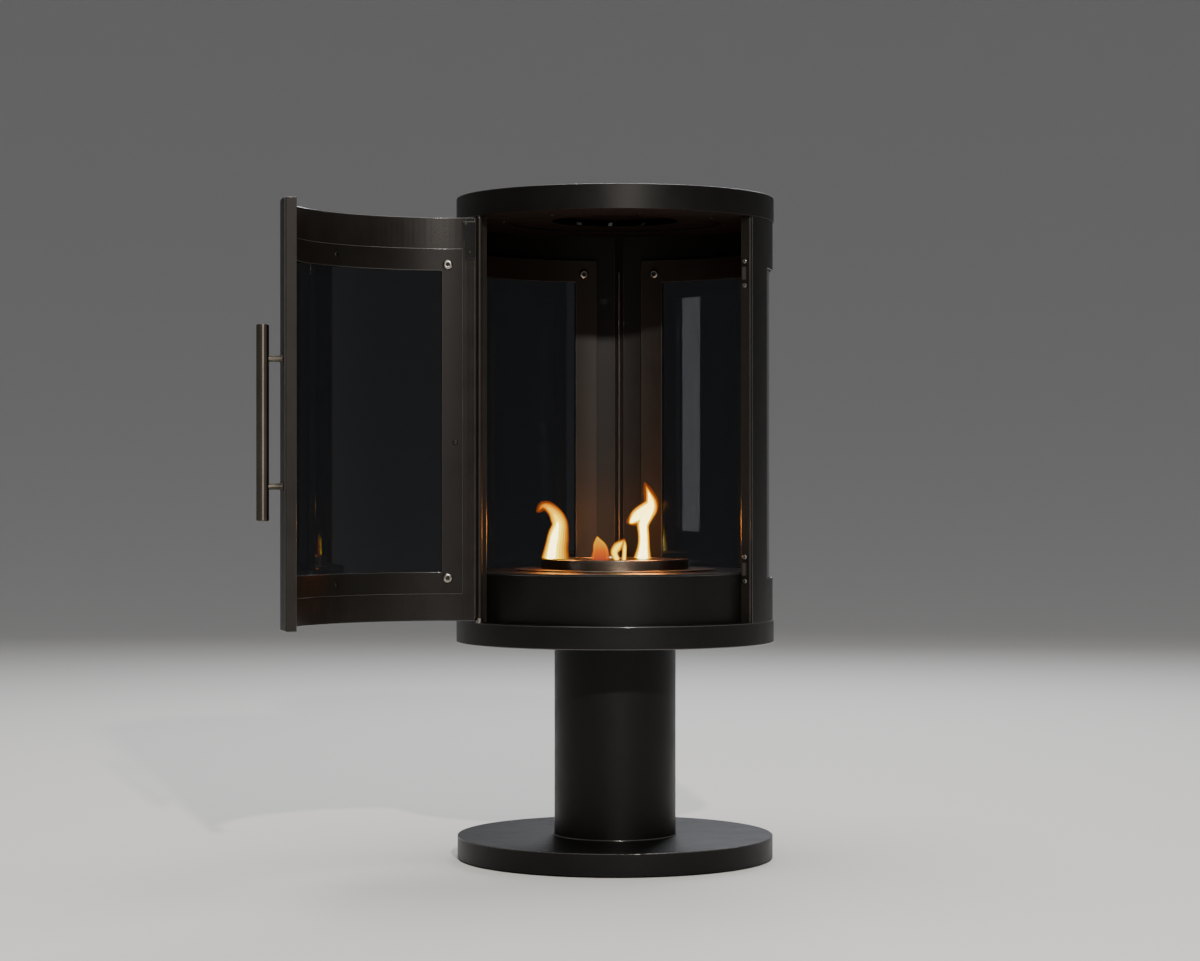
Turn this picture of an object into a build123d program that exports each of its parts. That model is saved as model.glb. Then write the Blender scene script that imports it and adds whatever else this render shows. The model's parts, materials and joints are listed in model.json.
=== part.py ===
"""Round bioethanol fireplace on a pedestal, with a curved glass door that stands open.

Millimetres, +Z up. The origin is on the floor, on the axis of the drum and column.
A bearing is an angle round that axis in degrees, 0 at the front (-Y) and 90 at the right (+X).
Every door piece is drawn with the door shut, and then swung open about its hinge axis.
"""
import os
from math import asin, cos, degrees, radians, sin, sqrt

from build123d import *

# ---- clearances ----
fit_gap = 0.3            # between curved faces that belong together
pin_gap = 0.05           # radial running clearance of a pin in its bore
sheet = 3.0              # steel sheet of the drum and base
thin_sheet = 2.0         # steel sheet of the inner parts
cut_past = 1.0           # how far a cutter runs past the face it cuts

# ---- base and column ----
base_r = 218.5
base_top = 32.0
base_floor_gap = 2.0
ballast_t = 20.0
pad_r = 20.0
pad_inset = 33.5
pad_count = 6
column_r = 84.15
column_wall = 3.0
flange_t = 8.0
bolt_r = 5.0
bolt_head_t = 6.4
bolt_across_flats = 16.0
bolt_count = 4
bolt_inset = 29.15
bolt_first = 45.0
bolt_end_gap = 1.0
bolt_past_nut = 2.0

# ---- drum ----
shell_r = 218.5
drum_bottom = 299.0
band_h = 31.0
top_band_h = 33.0
band_overhang = 1.5
opening_h = 549.0
edge_fillet = 1.0
jamb_t = 2.4
jamb_depth = 18.0
jamb_leg = 10.0
skirt_h = 65.0
skirt_gap = 0.8
deck_overhang = 1.5
latch_jamb_bearing = 57.9
rear_bearing = 178.4
rear_seam = 11.7
rear_strip_w = 40.0
rear_strip_t = 1.2
bead_r = 2.0
bead_drop = 51.0
rivet_r = 3.0
rivet_head_t = 0.8
rivet_pitch = 120.0

# ---- side windows ----
window_rear_half = 63.5
window_above_band = 58.5
window_below_ceiling = 67.0
window_corner_r = 2.5
window_border = 32.0
window_to_jamb = 0.5
glass_t = 4.0
glass_lap = 6.0
gasket_t = 1.5
gasket_w = 5.0
window_screw_out = 12.0

# ---- door ----
door_gap = 3.0
hinge_inset = 2.6
hinge_bearing = -57.9
hinge_to_jamb = 7.2
hinge_to_skin = 5.3
door_open_deg = 128.4
door_lead_gap = 2.3
door_skin_t = 2.5
door_frame_t = 8.0
door_side_border = 29.0
door_clamp_to_bar = 3.3
door_top_rail = 41.5
door_bottom_rail = 36.0
door_border = 30.0
door_glass_lap = 4.0
door_gasket_w = 3.5
closing_bar_to_deck = 0.6
closing_bar_w = 13.5
closing_bar_set_back = 2.3
closing_bar_proud = 1.0
door_screw_out = 8.0
small_screw_side = 3.8
small_screw_above_band = 243.0
tube_r = 3.8
pivot_r = 2.5
pivot_l = 18.0
washer_r = 5.0
washer_h = 6.5
stile_w = 1.9
leaf_w = 17.5
leaf_h = 50.5
leaf_top_drop = 5.5
leaf_step = 3.0
leaf_corner_r = 2.5
leaf_t = 2.2
leaf_head_r = 2.5
leaf_head_t = 0.8
leaf_screw_in = 3.5
leaf_screw_out = 9.0

# ---- screws ----
screw_head_r = 7.0
screw_head_t = 3.4
screw_shank_r = 2.5
small_head_r = 3.5
small_head_t = 1.6
small_shank_r = 1.5
socket_share = 0.55

# ---- handle ----
handle_r = 8.0
handle_l = 246.0
handle_gap = 17.0
handle_chamfer = 0.8
handle_from_bar_mid = 1.8
handle_above_band = 264.0
handle_pitch = 160.0
standoff_r = 4.0
standoff_bite = 3.2
standoff_collar_r = 6.0
standoff_collar_t = 3.0

# ---- catches ----
catch_w = 10.0
catch_h = 39.0
catch_corner_r = 1.5
catch_plate_t = 1.0
catch_magnet_t = 1.5
catch_magnet_w = 5.0
catch_magnet_h = 17.0
catch_pole_t = 1.2
catch_screw_pitch = 32.6
catch_from_top = 77.0
catch_from_bottom = 72.5
catch_inset = 6.5

# ---- ceiling ----
ceiling_lip = 69.7
baffle_lap = 21.0
baffle_hole_r = 87.0
deflector_lap = 23.0
deflector_gap = 9.0
deflector_post_r = 4.0
deflector_post_out = 11.0
deflector_post_count = 3
deflector_post_first = 60.0
ceiling_screw_out = 10.0
ceiling_screw_count = 8
ceiling_screw_first = 12.0
vent_count = 24
vent_inset = 26.7
vent_l = 70.0
vent_w = 8.0

# ---- burner ----
collar_r = 102.0
collar_t = 2.0
collar_above_top = 5.5
cup_gap = 3.0
cup_wall = 1.5
cup_depth = 63.0
cup_above_deck = 10.0
deck_hole_gap = 8.0
burner_flange_lap = 34.0
burner_flange_t = 2.0
wool_gap = 1.0
wool_drop = 16.0
burner_plate_t = 2.0
slot_count = 4
slot_inset = 9.0
slot_w = 36.0
slot_deg = 38.0
shutter_pin_r = 4.0
shutter_pin_head_r = 8.0
shutter_pin_head_t = 1.0
shutter_gap = 0.3
tool_hole_r = 4.0
tool_hole_at = 32.0
tool_hole_bearing = 45.0


def arc_deg(length, radius):
    """Degrees that a length along an arc spans."""
    return degrees(length / radius)


# ---- worked out from the above: heights ----
band_top = drum_bottom + band_h
ceiling_z = band_top + opening_h
drum_top = ceiling_z + top_band_h
deck_z = band_top + skirt_h
deck_top = deck_z + sheet
door_bottom = band_top + door_gap
door_top = ceiling_z - door_gap
clamp_z0 = door_bottom + door_bottom_rail
clamp_z1 = door_top - door_top_rail
door_window_z0 = clamp_z0 + door_border
door_window_z1 = clamp_z1 - door_border
window_bottom = band_top + window_above_band
window_top = ceiling_z - window_below_ceiling
burner_top_z = deck_top + cup_above_deck
handle_mid_z = band_top + handle_above_band

# ---- worked out from the above: radii ----
shell_in_r = shell_r - sheet
drum_r = shell_r + band_overhang
band_in_r = drum_r - sheet
plate_r = band_in_r - fit_gap
jamb_in_r = shell_r - jamb_depth
skirt_r = jamb_in_r - skirt_gap
deck_r = skirt_r + deck_overhang
closing_bar_in_r = deck_r + closing_bar_to_deck
pad_ring_r = base_r - pad_inset
bolt_ring_r = column_r - bolt_inset
glass_out_r = shell_in_r - gasket_t
glass_in_r = glass_out_r - glass_t
clamp_out_r = glass_in_r - fit_gap
clamp_in_r = clamp_out_r - thin_sheet
skin_in_r = shell_r - door_skin_t
door_frame_out_r = skin_in_r - fit_gap
door_frame_in_r = skin_in_r - door_frame_t
door_clamp_out_r = door_frame_in_r - fit_gap
door_clamp_in_r = door_clamp_out_r - thin_sheet
door_glass_out_r = skin_in_r - gasket_t
door_glass_in_r = door_glass_out_r - glass_t
hinge_axis_r = shell_r - hinge_inset
ceiling_hole_r = plate_r - ceiling_lip
baffle_r = ceiling_hole_r + baffle_lap
ceiling_screw_ring_r = ceiling_hole_r + ceiling_screw_out
deflector_r = baffle_hole_r + deflector_lap
deflector_post_ring_r = baffle_hole_r + deflector_post_out
vent_mid_r = plate_r - vent_inset - vent_l / 2
cup_r = collar_r - collar_t - cup_gap
deck_hole_r = cup_r + deck_hole_gap
burner_flange_r = deck_hole_r + burner_flange_lap
slot_out_r = cup_r - slot_inset
slot_in_r = slot_out_r - slot_w

# ---- worked out from the above: bearings ----
hinge_jamb_bearing = hinge_bearing - arc_deg(hinge_to_jamb, hinge_axis_r)
door_hinge_edge = hinge_bearing + arc_deg(hinge_to_skin, hinge_axis_r)
stile_end = door_hinge_edge - arc_deg(stile_w, door_frame_out_r)
door_lead_edge = latch_jamb_bearing - arc_deg(door_lead_gap, shell_r)
closing_bar_end = door_lead_edge - arc_deg(closing_bar_set_back, door_frame_out_r)
closing_bar_start = closing_bar_end - arc_deg(closing_bar_w, door_frame_out_r)
handle_bearing = (closing_bar_start + closing_bar_end) / 2 - arc_deg(handle_from_bar_mid, shell_r)
door_clamp_half = closing_bar_start - arc_deg(door_clamp_to_bar, door_clamp_out_r)
door_window_half = door_clamp_half - arc_deg(door_side_border, door_clamp_out_r)
window_front_bearing = arc_deg(jamb_leg + window_to_jamb + window_border, clamp_out_r) - hinge_jamb_bearing


def polar(radius, bearing):
    """Point in plan at a radius and bearing."""
    return (radius * sin(radians(bearing)), -radius * cos(radians(bearing)))


def disc(radius, z0, z1, at=(0, 0)):
    """Upright solid cylinder."""
    body = Cylinder(radius, z1 - z0, align=(Align.CENTER, Align.CENTER, Align.MIN))
    return Pos(at[0], at[1], z0) * body


def ring(r_in, r_out, z0, z1, at=(0, 0)):
    """Upright tube or annular plate."""
    return disc(r_out, z0, z1, at) - disc(r_in, z0 - cut_past, z1 + cut_past, at)


def sector(r_in, r_out, start, end, z0, z1):
    """Part of a ring between two bearings."""
    mid = (start + end) / 2
    outer = ThreePointArc(polar(r_out, start), polar(r_out, mid), polar(r_out, end))
    inner = ThreePointArc(polar(r_in, end), polar(r_in, mid), polar(r_in, start))
    sides = [Line(outer @ 1, inner @ 0), Line(inner @ 1, outer @ 0)]
    outline = make_face(Curve() + [outer, sides[0], inner, sides[1]])
    return Pos(0, 0, z0) * extrude(outline, z1 - z0, dir=(0, 0, 1))


def rounded_sector(r_in, r_out, start, end, z0, z1, corner):
    """Sector whose four corners are round when seen along the radius."""
    block = sector(r_in, r_out, start, end, z0, z1)
    radial = [edge for edge in block.edges().filter_by(GeomType.LINE) if abs((edge % 0).Z) < 0.5]
    return fillet(radial, corner)


def window_cut(r_in, r_out, start, end, z0, z1):
    """Cutter for a window with round corners, right through a curved sheet."""
    return rounded_sector(r_in - cut_past, r_out + cut_past, start, end, z0, z1, window_corner_r)


def window_frame(r_in, r_out, start, end, z0, z1, border, corner):
    """Curved rectangular frame: an outer rounded sector less an inner one."""
    turn = arc_deg(border, r_out)
    outer = rounded_sector(r_in, r_out, start, end, z0, z1, corner)
    hole = rounded_sector(r_in - cut_past, r_out + cut_past, start + turn, end - turn,
                          z0 + border, z1 - border, corner)
    return outer - hole


def radial_plane(radius, bearing, z):
    """Plane at a point of the drum, whose Z looks in at the axis."""
    x, y = polar(radius, bearing)
    inward = polar(-1, bearing)
    return Plane(origin=(x, y, z), x_dir=(0, 0, 1), z_dir=(inward[0], inward[1], 0))


def hollow_seat(radius, bearing, z, head_r):
    """Radial plane where a flat head's rim meets the hollow side of a curved sheet."""
    return radial_plane(sqrt(radius ** 2 - head_r ** 2), bearing, z)


def screw(head_r, head_t, shank_r, shank_l):
    """Button-head screw with a hex socket; the head sits on Z = 0 and the shank hangs below."""
    head = disc(head_r, 0, head_t)
    head = fillet(head.edges().group_by(Axis.Z)[-1], head_t * socket_share)
    socket = extrude(RegularPolygon(head_r * socket_share, 6), head_t)
    return head - Pos(0, 0, head_t / 2) * socket + disc(shank_r, -shank_l, 0)


def bolt(length):
    """Hex bolt whose head sits on Z = 0."""
    head = extrude(RegularPolygon(bolt_across_flats / 2, 6, major_radius=False), bolt_head_t)
    return head + disc(bolt_r, -length, 0)


def around(count, radius, first=0.0):
    """Evenly spaced plan points on a circle, with their bearings."""
    step = 360 / count
    return [(polar(radius, first + step * i), first + step * i) for i in range(count)]


def write(name, *solids):
    """Write one node: a single solid or a group of separate solids."""
    shape = solids[0] if len(solids) == 1 else Compound(list(solids))
    export_step(shape, f"parts/{name}.step")


def swing_open(shape):
    """Turn a piece of the shut door about the hinge axis to where it stands open."""
    x, y = polar(hinge_axis_r, hinge_bearing)
    return Pos(x, y, 0) * (Rot(0, 0, -door_open_deg) * (Pos(-x, -y, 0) * shape))


def write_door(name, *solids):
    """Write one node of the door, swung open."""
    write(name, *[swing_open(solid) for solid in solids])


def bolt_holes(z0, z1, radius):
    """The cutters for the ring of column bolts."""
    return [disc(radius, z0, z1, at) for at, _ in around(bolt_count, bolt_ring_r, bolt_first)]


def base():
    """Dish-shaped cover over a steel ballast disc on rubber pads."""
    ballast_z1 = base_top - sheet
    ballast_z0 = ballast_z1 - ballast_t
    inside = disc(base_r - sheet, base_floor_gap - cut_past, ballast_z1)
    cover = disc(base_r, base_floor_gap, base_top) - inside
    cover = fillet(cover.edges().group_by(Axis.Z)[-1], edge_fillet)
    cover = cover - bolt_holes(ballast_z1, base_top + cut_past, bolt_r + fit_gap)
    ballast = disc(base_r - sheet - fit_gap, ballast_z0, ballast_z1)
    ballast = ballast - bolt_holes(ballast_z0, ballast_z1, bolt_r + fit_gap)
    write("base_cover", cover)
    write("base_ballast", ballast)
    pads = [disc(pad_r, 0, ballast_z0, at) for at, _ in around(pad_count, pad_ring_r)]
    write("base_pads", disc(pad_r, 0, ballast_z0), *pads)
    return ballast_z0


def column(ballast_z0):
    """Round tube with a bolted flange inside each end."""
    inside_r = column_r - column_wall
    write("column_tube", ring(inside_r, column_r, base_top, drum_bottom))
    foot_top = base_top + flange_t
    head_bottom = drum_bottom - flange_t
    for name, z0, z1 in (("column_foot_flange", base_top, foot_top),
                         ("column_head_flange", head_bottom, drum_bottom)):
        plate = disc(inside_r - fit_gap, z0, z1) - bolt_holes(z0 - cut_past, z1 + cut_past, bolt_r + fit_gap)
        write(name, plate)
    points = [at for at, _ in around(bolt_count, bolt_ring_r, bolt_first)]
    foot = [Pos(x, y, foot_top) * bolt(foot_top - ballast_z0 - bolt_end_gap) for x, y in points]
    write("column_foot_bolts", *foot)
    nut_z1 = drum_bottom + sheet + bolt_head_t
    upward = Rot(180, 0, 0) * bolt(nut_z1 + bolt_past_nut - head_bottom)
    head = [Pos(x, y, head_bottom) * upward for x, y in points]
    write("column_head_bolts", *head)
    nut = extrude(RegularPolygon(bolt_across_flats / 2, 6, major_radius=False), bolt_head_t)
    nut = nut - disc(bolt_r + fit_gap / 2, -cut_past, bolt_head_t + cut_past)
    write("column_head_nuts", *[Pos(x, y, drum_bottom + sheet) * nut for x, y in points])


def drum():
    """Lower pan, skirt, decks and the two bands that the shells stand between."""
    pan = disc(drum_r, drum_bottom, band_top) - disc(band_in_r, drum_bottom + sheet, band_top + cut_past)
    pan = pan - bolt_holes(drum_bottom - cut_past, drum_bottom + sheet + cut_past, bolt_r + fit_gap)
    write("lower_pan", pan)
    write("lower_deck", disc(plate_r, band_top - sheet, band_top))
    write("drum_skirt", ring(skirt_r - thin_sheet, skirt_r, band_top, deck_z))
    deck = ring(deck_hole_r, deck_r, deck_z, deck_top)
    for bearing in (latch_jamb_bearing, hinge_jamb_bearing):
        side = arc_deg(2 * jamb_t, deck_r)
        deck = deck - sector(jamb_in_r - skirt_gap, deck_r + cut_past, bearing - side, bearing + side,
                             deck_z - cut_past, deck_top + cut_past)
    write("deck_plate", deck)
    band = ring(band_in_r, drum_r, ceiling_z, drum_top)
    write("top_band", fillet(band.edges().group_by(Axis.Z)[-1].sort_by(SortBy.LENGTH)[-1], edge_fillet))


def side_span(side):
    """Front and rear bearings of one side's shell: side is 1 on the right and -1 on the left."""
    seam = arc_deg(rear_seam / 2, shell_in_r)
    if side > 0:
        return latch_jamb_bearing, rear_bearing - seam
    return hinge_jamb_bearing, rear_bearing - 360 + seam


def ordered(a, b):
    """Two bearings, the smaller first."""
    return min(a, b), max(a, b)


def side_window(side, name):
    """One side of the drum: shell, glass and clamp frame; gives back its screws and gasket."""
    front, rear = side_span(side)
    rear_mid = rear_bearing if side > 0 else rear_bearing - 360
    hole_front = side * window_front_bearing
    hole_rear = rear_mid - side * degrees(asin(window_rear_half / clamp_out_r))
    hole = ordered(hole_front, hole_rear)
    shell = sector(shell_in_r, shell_r, *ordered(front, rear), band_top, ceiling_z)
    cut = window_cut(shell_in_r, shell_r, *hole, window_bottom, window_top)
    write(f"shell_{name}", shell - cut)

    lap = arc_deg(glass_lap, glass_out_r)
    glass = sector(glass_in_r, glass_out_r, hole[0] - lap, hole[1] + lap,
                   window_bottom - glass_lap, window_top + glass_lap)
    write(f"window_glass_{name}", glass)
    gasket = window_frame(glass_out_r + fit_gap / 2, shell_in_r - fit_gap / 2, hole[0] - lap, hole[1] + lap,
                          window_bottom - glass_lap, window_top + glass_lap, gasket_w, window_corner_r / 2)
    edge = arc_deg(window_border, clamp_out_r)
    clamp = window_frame(clamp_in_r, clamp_out_r, hole[0] - edge, hole[1] + edge,
                         window_bottom - window_border, window_top + window_border, window_border,
                         window_corner_r)
    out = arc_deg(window_screw_out, clamp_out_r)
    screws = []
    for bearing in (hole[0] - out, hole[1] + out):
        for z in (window_bottom - window_screw_out, window_top + window_screw_out):
            seat = hollow_seat(clamp_in_r, bearing, z, screw_head_r)
            shank = shell_in_r - fit_gap - clamp_in_r
            screws.append(seat * screw(screw_head_r, screw_head_t, screw_shank_r, shank))
            clamp = clamp - seat * disc(screw_shank_r + fit_gap, -thin_sheet - cut_past, cut_past)
    write(f"window_clamp_{name}", clamp)
    return screws, gasket


def jamb(bearing, direction):
    """Angle section that stiffens the shell's front edge; its leg runs back behind the shell."""
    outer = shell_in_r - fit_gap
    plate = arc_deg(jamb_t, outer) * direction
    leg = arc_deg(jamb_leg, outer) * direction
    flange = sector(jamb_in_r, outer, *ordered(bearing, bearing + plate), band_top, ceiling_z)
    return flange + sector(outer - jamb_t, outer, *ordered(bearing, bearing + leg), band_top, ceiling_z)


def rear_seam_pieces():
    """Cover strip outside the rear seam, its rivets, and the bead that shows in the seam."""
    strip_in = shell_r + fit_gap
    half = arc_deg(rear_strip_w / 2, shell_r)
    strip = sector(strip_in, strip_in + rear_strip_t, rear_bearing - half, rear_bearing + half,
                   band_top, ceiling_z)
    rivets = []
    side = half - arc_deg(2 * rivet_r, shell_r)
    z = band_top + rivet_pitch / 2
    while z < ceiling_z - rivet_r:
        for bearing in (rear_bearing - side, rear_bearing + side):
            seat = radial_plane(strip_in + rear_strip_t, bearing, z)
            rivets.append(seat * disc(rivet_r, -rivet_head_t, 0))
        z += rivet_pitch
    write("rear_strip", strip)
    write("rear_strip_rivets", *rivets)
    bead_at = polar(strip_in - fit_gap - bead_r, rear_bearing)
    write("rear_bead", disc(bead_r, band_top, ceiling_z - bead_drop, bead_at))


def catch_plane(z):
    """Plane on the latch jamb's face, whose Z looks at the shut door's edge."""
    x, y = polar(jamb_in_r + catch_inset, latch_jamb_bearing)
    toward = (-cos(radians(latch_jamb_bearing)), -sin(radians(latch_jamb_bearing)), 0)
    return Plane(origin=(x, y, z), x_dir=(0, 0, 1), z_dir=toward)


def slab(length, width, z0, z1, at=(0, 0)):
    """Flat block centred on a point."""
    block = Box(length, width, z1 - z0, align=(Align.CENTER, Align.CENTER, Align.MIN))
    return Pos(at[0], at[1], z0) * block


def catches():
    """Two magnetic catches on the latch jamb."""
    plates, magnets, poles, screws = [], [], [], []
    catch_top = catch_plate_t + catch_magnet_t
    for z in (ceiling_z - catch_from_top, band_top + catch_from_bottom):
        seat = catch_plane(z)
        plate = slab(catch_h, catch_w, 0, catch_plate_t)
        plate = fillet(plate.edges().filter_by(Axis.Z), catch_corner_r)
        for end in (-1, 1):
            at = (end * catch_screw_pitch / 2, 0)
            plate = plate - disc(small_shank_r + fit_gap / 2, -cut_past, catch_plate_t + cut_past, at)
            pan = screw(small_head_r, small_head_t, small_shank_r, catch_plate_t)
            screws.append(seat * Pos(at[0], 0, catch_plate_t) * pan)
            side = end * (catch_magnet_w + catch_pole_t) / 2
            poles.append(seat * slab(catch_magnet_h, catch_pole_t, catch_plate_t, catch_top, (0, side)))
        plates.append(seat * plate)
        magnets.append(seat * slab(catch_magnet_h, catch_magnet_w, catch_plate_t, catch_top))
    write("catch_plates", *plates)
    write("catch_magnets", *magnets)
    write("catch_pole_plates", *poles)
    write("catch_screws", *screws)


def ceiling():
    """Ceiling with a baffle ring, a deflector over its outlet, and the vented top plate."""
    baffle_z = ceiling_z + sheet
    deflector_z = baffle_z + thin_sheet + deflector_gap
    plate = ring(ceiling_hole_r, plate_r, ceiling_z, baffle_z)
    baffle = ring(baffle_hole_r, baffle_r, baffle_z, baffle_z + thin_sheet)
    screws = []
    for (x, y), _ in around(ceiling_screw_count, ceiling_screw_ring_r, ceiling_screw_first):
        hole = disc(small_shank_r + fit_gap, ceiling_z - cut_past, deflector_z, (x, y))
        plate = plate - hole
        baffle = baffle - hole
        turned = Rot(180, 0, 0) * screw(small_head_r, small_head_t, small_shank_r, sheet + 2 * thin_sheet)
        screws.append(Pos(x, y, ceiling_z) * turned)
    write("ceiling_plate", plate)
    write("ceiling_baffle", baffle)
    write("ceiling_screws", *screws)
    deflector = disc(deflector_r, deflector_z, deflector_z + thin_sheet)
    posts = around(deflector_post_count, deflector_post_ring_r, deflector_post_first)
    spacers = [disc(deflector_post_r, baffle_z + thin_sheet, deflector_z, at) for at, _ in posts]
    write("ceiling_deflector", deflector + spacers)
    top = disc(plate_r, drum_top - sheet, drum_top)
    slot = slab(vent_l, vent_w, drum_top - sheet - cut_past, drum_top + cut_past)
    slot = fillet(slot.edges().filter_by(Axis.Z), vent_w / 2 - pin_gap)
    for (x, y), bearing in around(vent_count, vent_mid_r):
        top = top - Pos(x, y, 0) * (Rot(0, 0, bearing + 90) * slot)
    write("top_plate", top)


def pivots():
    """Fixed pins that the door's hinge tube turns on, and the washer that carries it."""
    at = polar(hinge_axis_r, hinge_bearing)
    write("pivot_pins", disc(pivot_r, ceiling_z - pivot_l, ceiling_z, at),
          disc(pivot_r, band_top, band_top + pivot_l, at))
    write("lower_pivot_washer", ring(pivot_r + pin_gap, washer_r, band_top, band_top + washer_h, at))


def door_panel():
    """Skin, frame, gasket, glass, clamp frame and the screws of the curved door."""
    hole = (-door_window_half, door_window_half)
    skin = sector(skin_in_r, shell_r, door_hinge_edge, door_lead_edge, door_bottom, door_top)
    skin = skin - window_cut(skin_in_r, shell_r, *hole, door_window_z0, door_window_z1)
    write_door("door_skin", skin)

    lap = arc_deg(door_glass_lap, door_glass_out_r)
    pane = (hole[0] - lap, hole[1] + lap)
    pane_z = (door_window_z0 - door_glass_lap, door_window_z1 + door_glass_lap)
    write_door("door_glass", sector(door_glass_in_r, door_glass_out_r, *pane, *pane_z))
    gaskets = [window_frame(r0 + fit_gap / 2, r1 - fit_gap / 2, *pane, *pane_z, door_gasket_w,
                            window_corner_r / 2)
               for r0, r1 in ((door_glass_out_r, skin_in_r), (door_clamp_out_r, door_glass_in_r))]
    write_door("door_gaskets", *gaskets)

    room = arc_deg(fit_gap, door_frame_in_r)
    frame = sector(door_frame_in_r, door_frame_out_r, door_hinge_edge, closing_bar_start,
                   door_bottom, door_top)
    frame = frame - sector(door_frame_in_r - cut_past, door_frame_out_r + cut_past,
                           pane[0] - room, pane[1] + room, pane_z[0] - fit_gap, pane_z[1] + fit_gap)
    clamp = sector(door_clamp_in_r, door_clamp_out_r, -door_clamp_half, door_clamp_half, clamp_z0, clamp_z1)
    clamp = clamp - window_cut(door_clamp_in_r, door_clamp_out_r, *hole, door_window_z0, door_window_z1)
    out = arc_deg(door_screw_out, door_clamp_in_r)
    middle_z = (clamp_z1 + door_window_z1) / 2
    side_bearing = (door_clamp_half + door_window_half) / 2 + arc_deg(small_screw_side, door_clamp_in_r)
    corners = [(bearing, z) for bearing in (hole[0] - out, hole[1] + out)
               for z in (door_window_z0 - door_screw_out, door_window_z1 + door_screw_out)]
    side_z = band_top + small_screw_above_band
    smalls = [(-side_bearing, side_z), (side_bearing, side_z), (0, middle_z),
              (0, (clamp_z0 + door_window_z0) / 2)]
    big, small = [], []
    for places, head_r, head_t, shank_r, made in (
            (corners, screw_head_r, screw_head_t, screw_shank_r, big),
            (smalls, small_head_r, small_head_t, small_shank_r, small)):
        for bearing, z in places:
            seat = hollow_seat(door_clamp_in_r, bearing, z, head_r)
            made.append(seat * screw(head_r, head_t, shank_r, door_frame_t))
            hole_cut = seat * disc(shank_r + fit_gap / 2, -door_frame_t - cut_past, cut_past)
            clamp = clamp - hole_cut
            frame = frame - hole_cut
    write_door("door_frame", frame)
    write_door("door_clamp", clamp)
    write_door("door_clamp_screws", *big)
    return small


def door_edges():
    """Closing bar on the leading edge; hinge tube, stile and leaf on the other."""
    bar = sector(closing_bar_in_r, door_frame_out_r, closing_bar_start, closing_bar_end,
                 door_bottom - closing_bar_proud, door_top + closing_bar_proud)
    write_door("closing_bar", bar)
    at = polar(hinge_axis_r, hinge_bearing)
    tube_z0 = band_top + washer_h
    write_door("hinge_tube", ring(pivot_r + pin_gap, tube_r, tube_z0, door_top, at))
    stile = sector(door_frame_in_r, door_frame_out_r - thin_sheet, stile_end, door_hinge_edge,
                   tube_z0, door_top)
    write_door("hinge_stile", stile)
    leaf_out_r = door_frame_in_r - fit_gap
    leaf_z1 = door_top - leaf_top_drop
    leaf_z0 = leaf_z1 - leaf_h
    wide = arc_deg(leaf_w, leaf_out_r)
    step = arc_deg(leaf_step, leaf_out_r)
    leaf_mid = (leaf_z0 + leaf_z1) / 2
    leaf = sector(leaf_out_r - leaf_t, leaf_out_r, stile_end, stile_end + wide, leaf_mid, leaf_z1)
    leaf = leaf + rounded_sector(leaf_out_r - leaf_t, leaf_out_r, stile_end, stile_end + wide - step,
                                 leaf_z0, leaf_mid + leaf_corner_r, leaf_corner_r)
    screws = []
    for across, z in ((wide - step, leaf_z1 - leaf_screw_in), (wide / 2, leaf_z0 + leaf_screw_out)):
        seat = hollow_seat(leaf_out_r - leaf_t, stile_end + across, z, leaf_head_r)
        leaf = leaf - seat * disc(small_shank_r + fit_gap, -leaf_t - cut_past, cut_past)
        screws.append(seat * screw(leaf_head_r, leaf_head_t, small_shank_r, leaf_t))
    write_door("upper_hinge_leaf", leaf)
    return screws


def handle():
    """Bar handle on two standoffs near the door's leading edge."""
    bar_r = shell_r + handle_gap + handle_r
    at = polar(bar_r, handle_bearing)
    bar = disc(handle_r, handle_mid_z - handle_l / 2, handle_mid_z + handle_l / 2, at)
    bar = chamfer(bar.edges(), handle_chamfer)
    standoffs = []
    for z in (handle_mid_z - handle_pitch / 2, handle_mid_z + handle_pitch / 2):
        seat = radial_plane(shell_r, handle_bearing, z)
        length = handle_gap + standoff_bite
        bar = bar - seat * disc(standoff_r, -length, 0)
        post = disc(standoff_r, -length, 0) + disc(standoff_collar_r, -standoff_collar_t, 0)
        standoffs.append(seat * post - door_edge_block())
    write_door("handle_bar", bar)
    write_door("handle_standoffs", *standoffs)


def door_edge_block():
    """The door's leading edge out to the skin's face, which trims what is welded on it."""
    return sector(skin_in_r, shell_r + pin_gap, 0, door_lead_edge, door_bottom, door_top)


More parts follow.
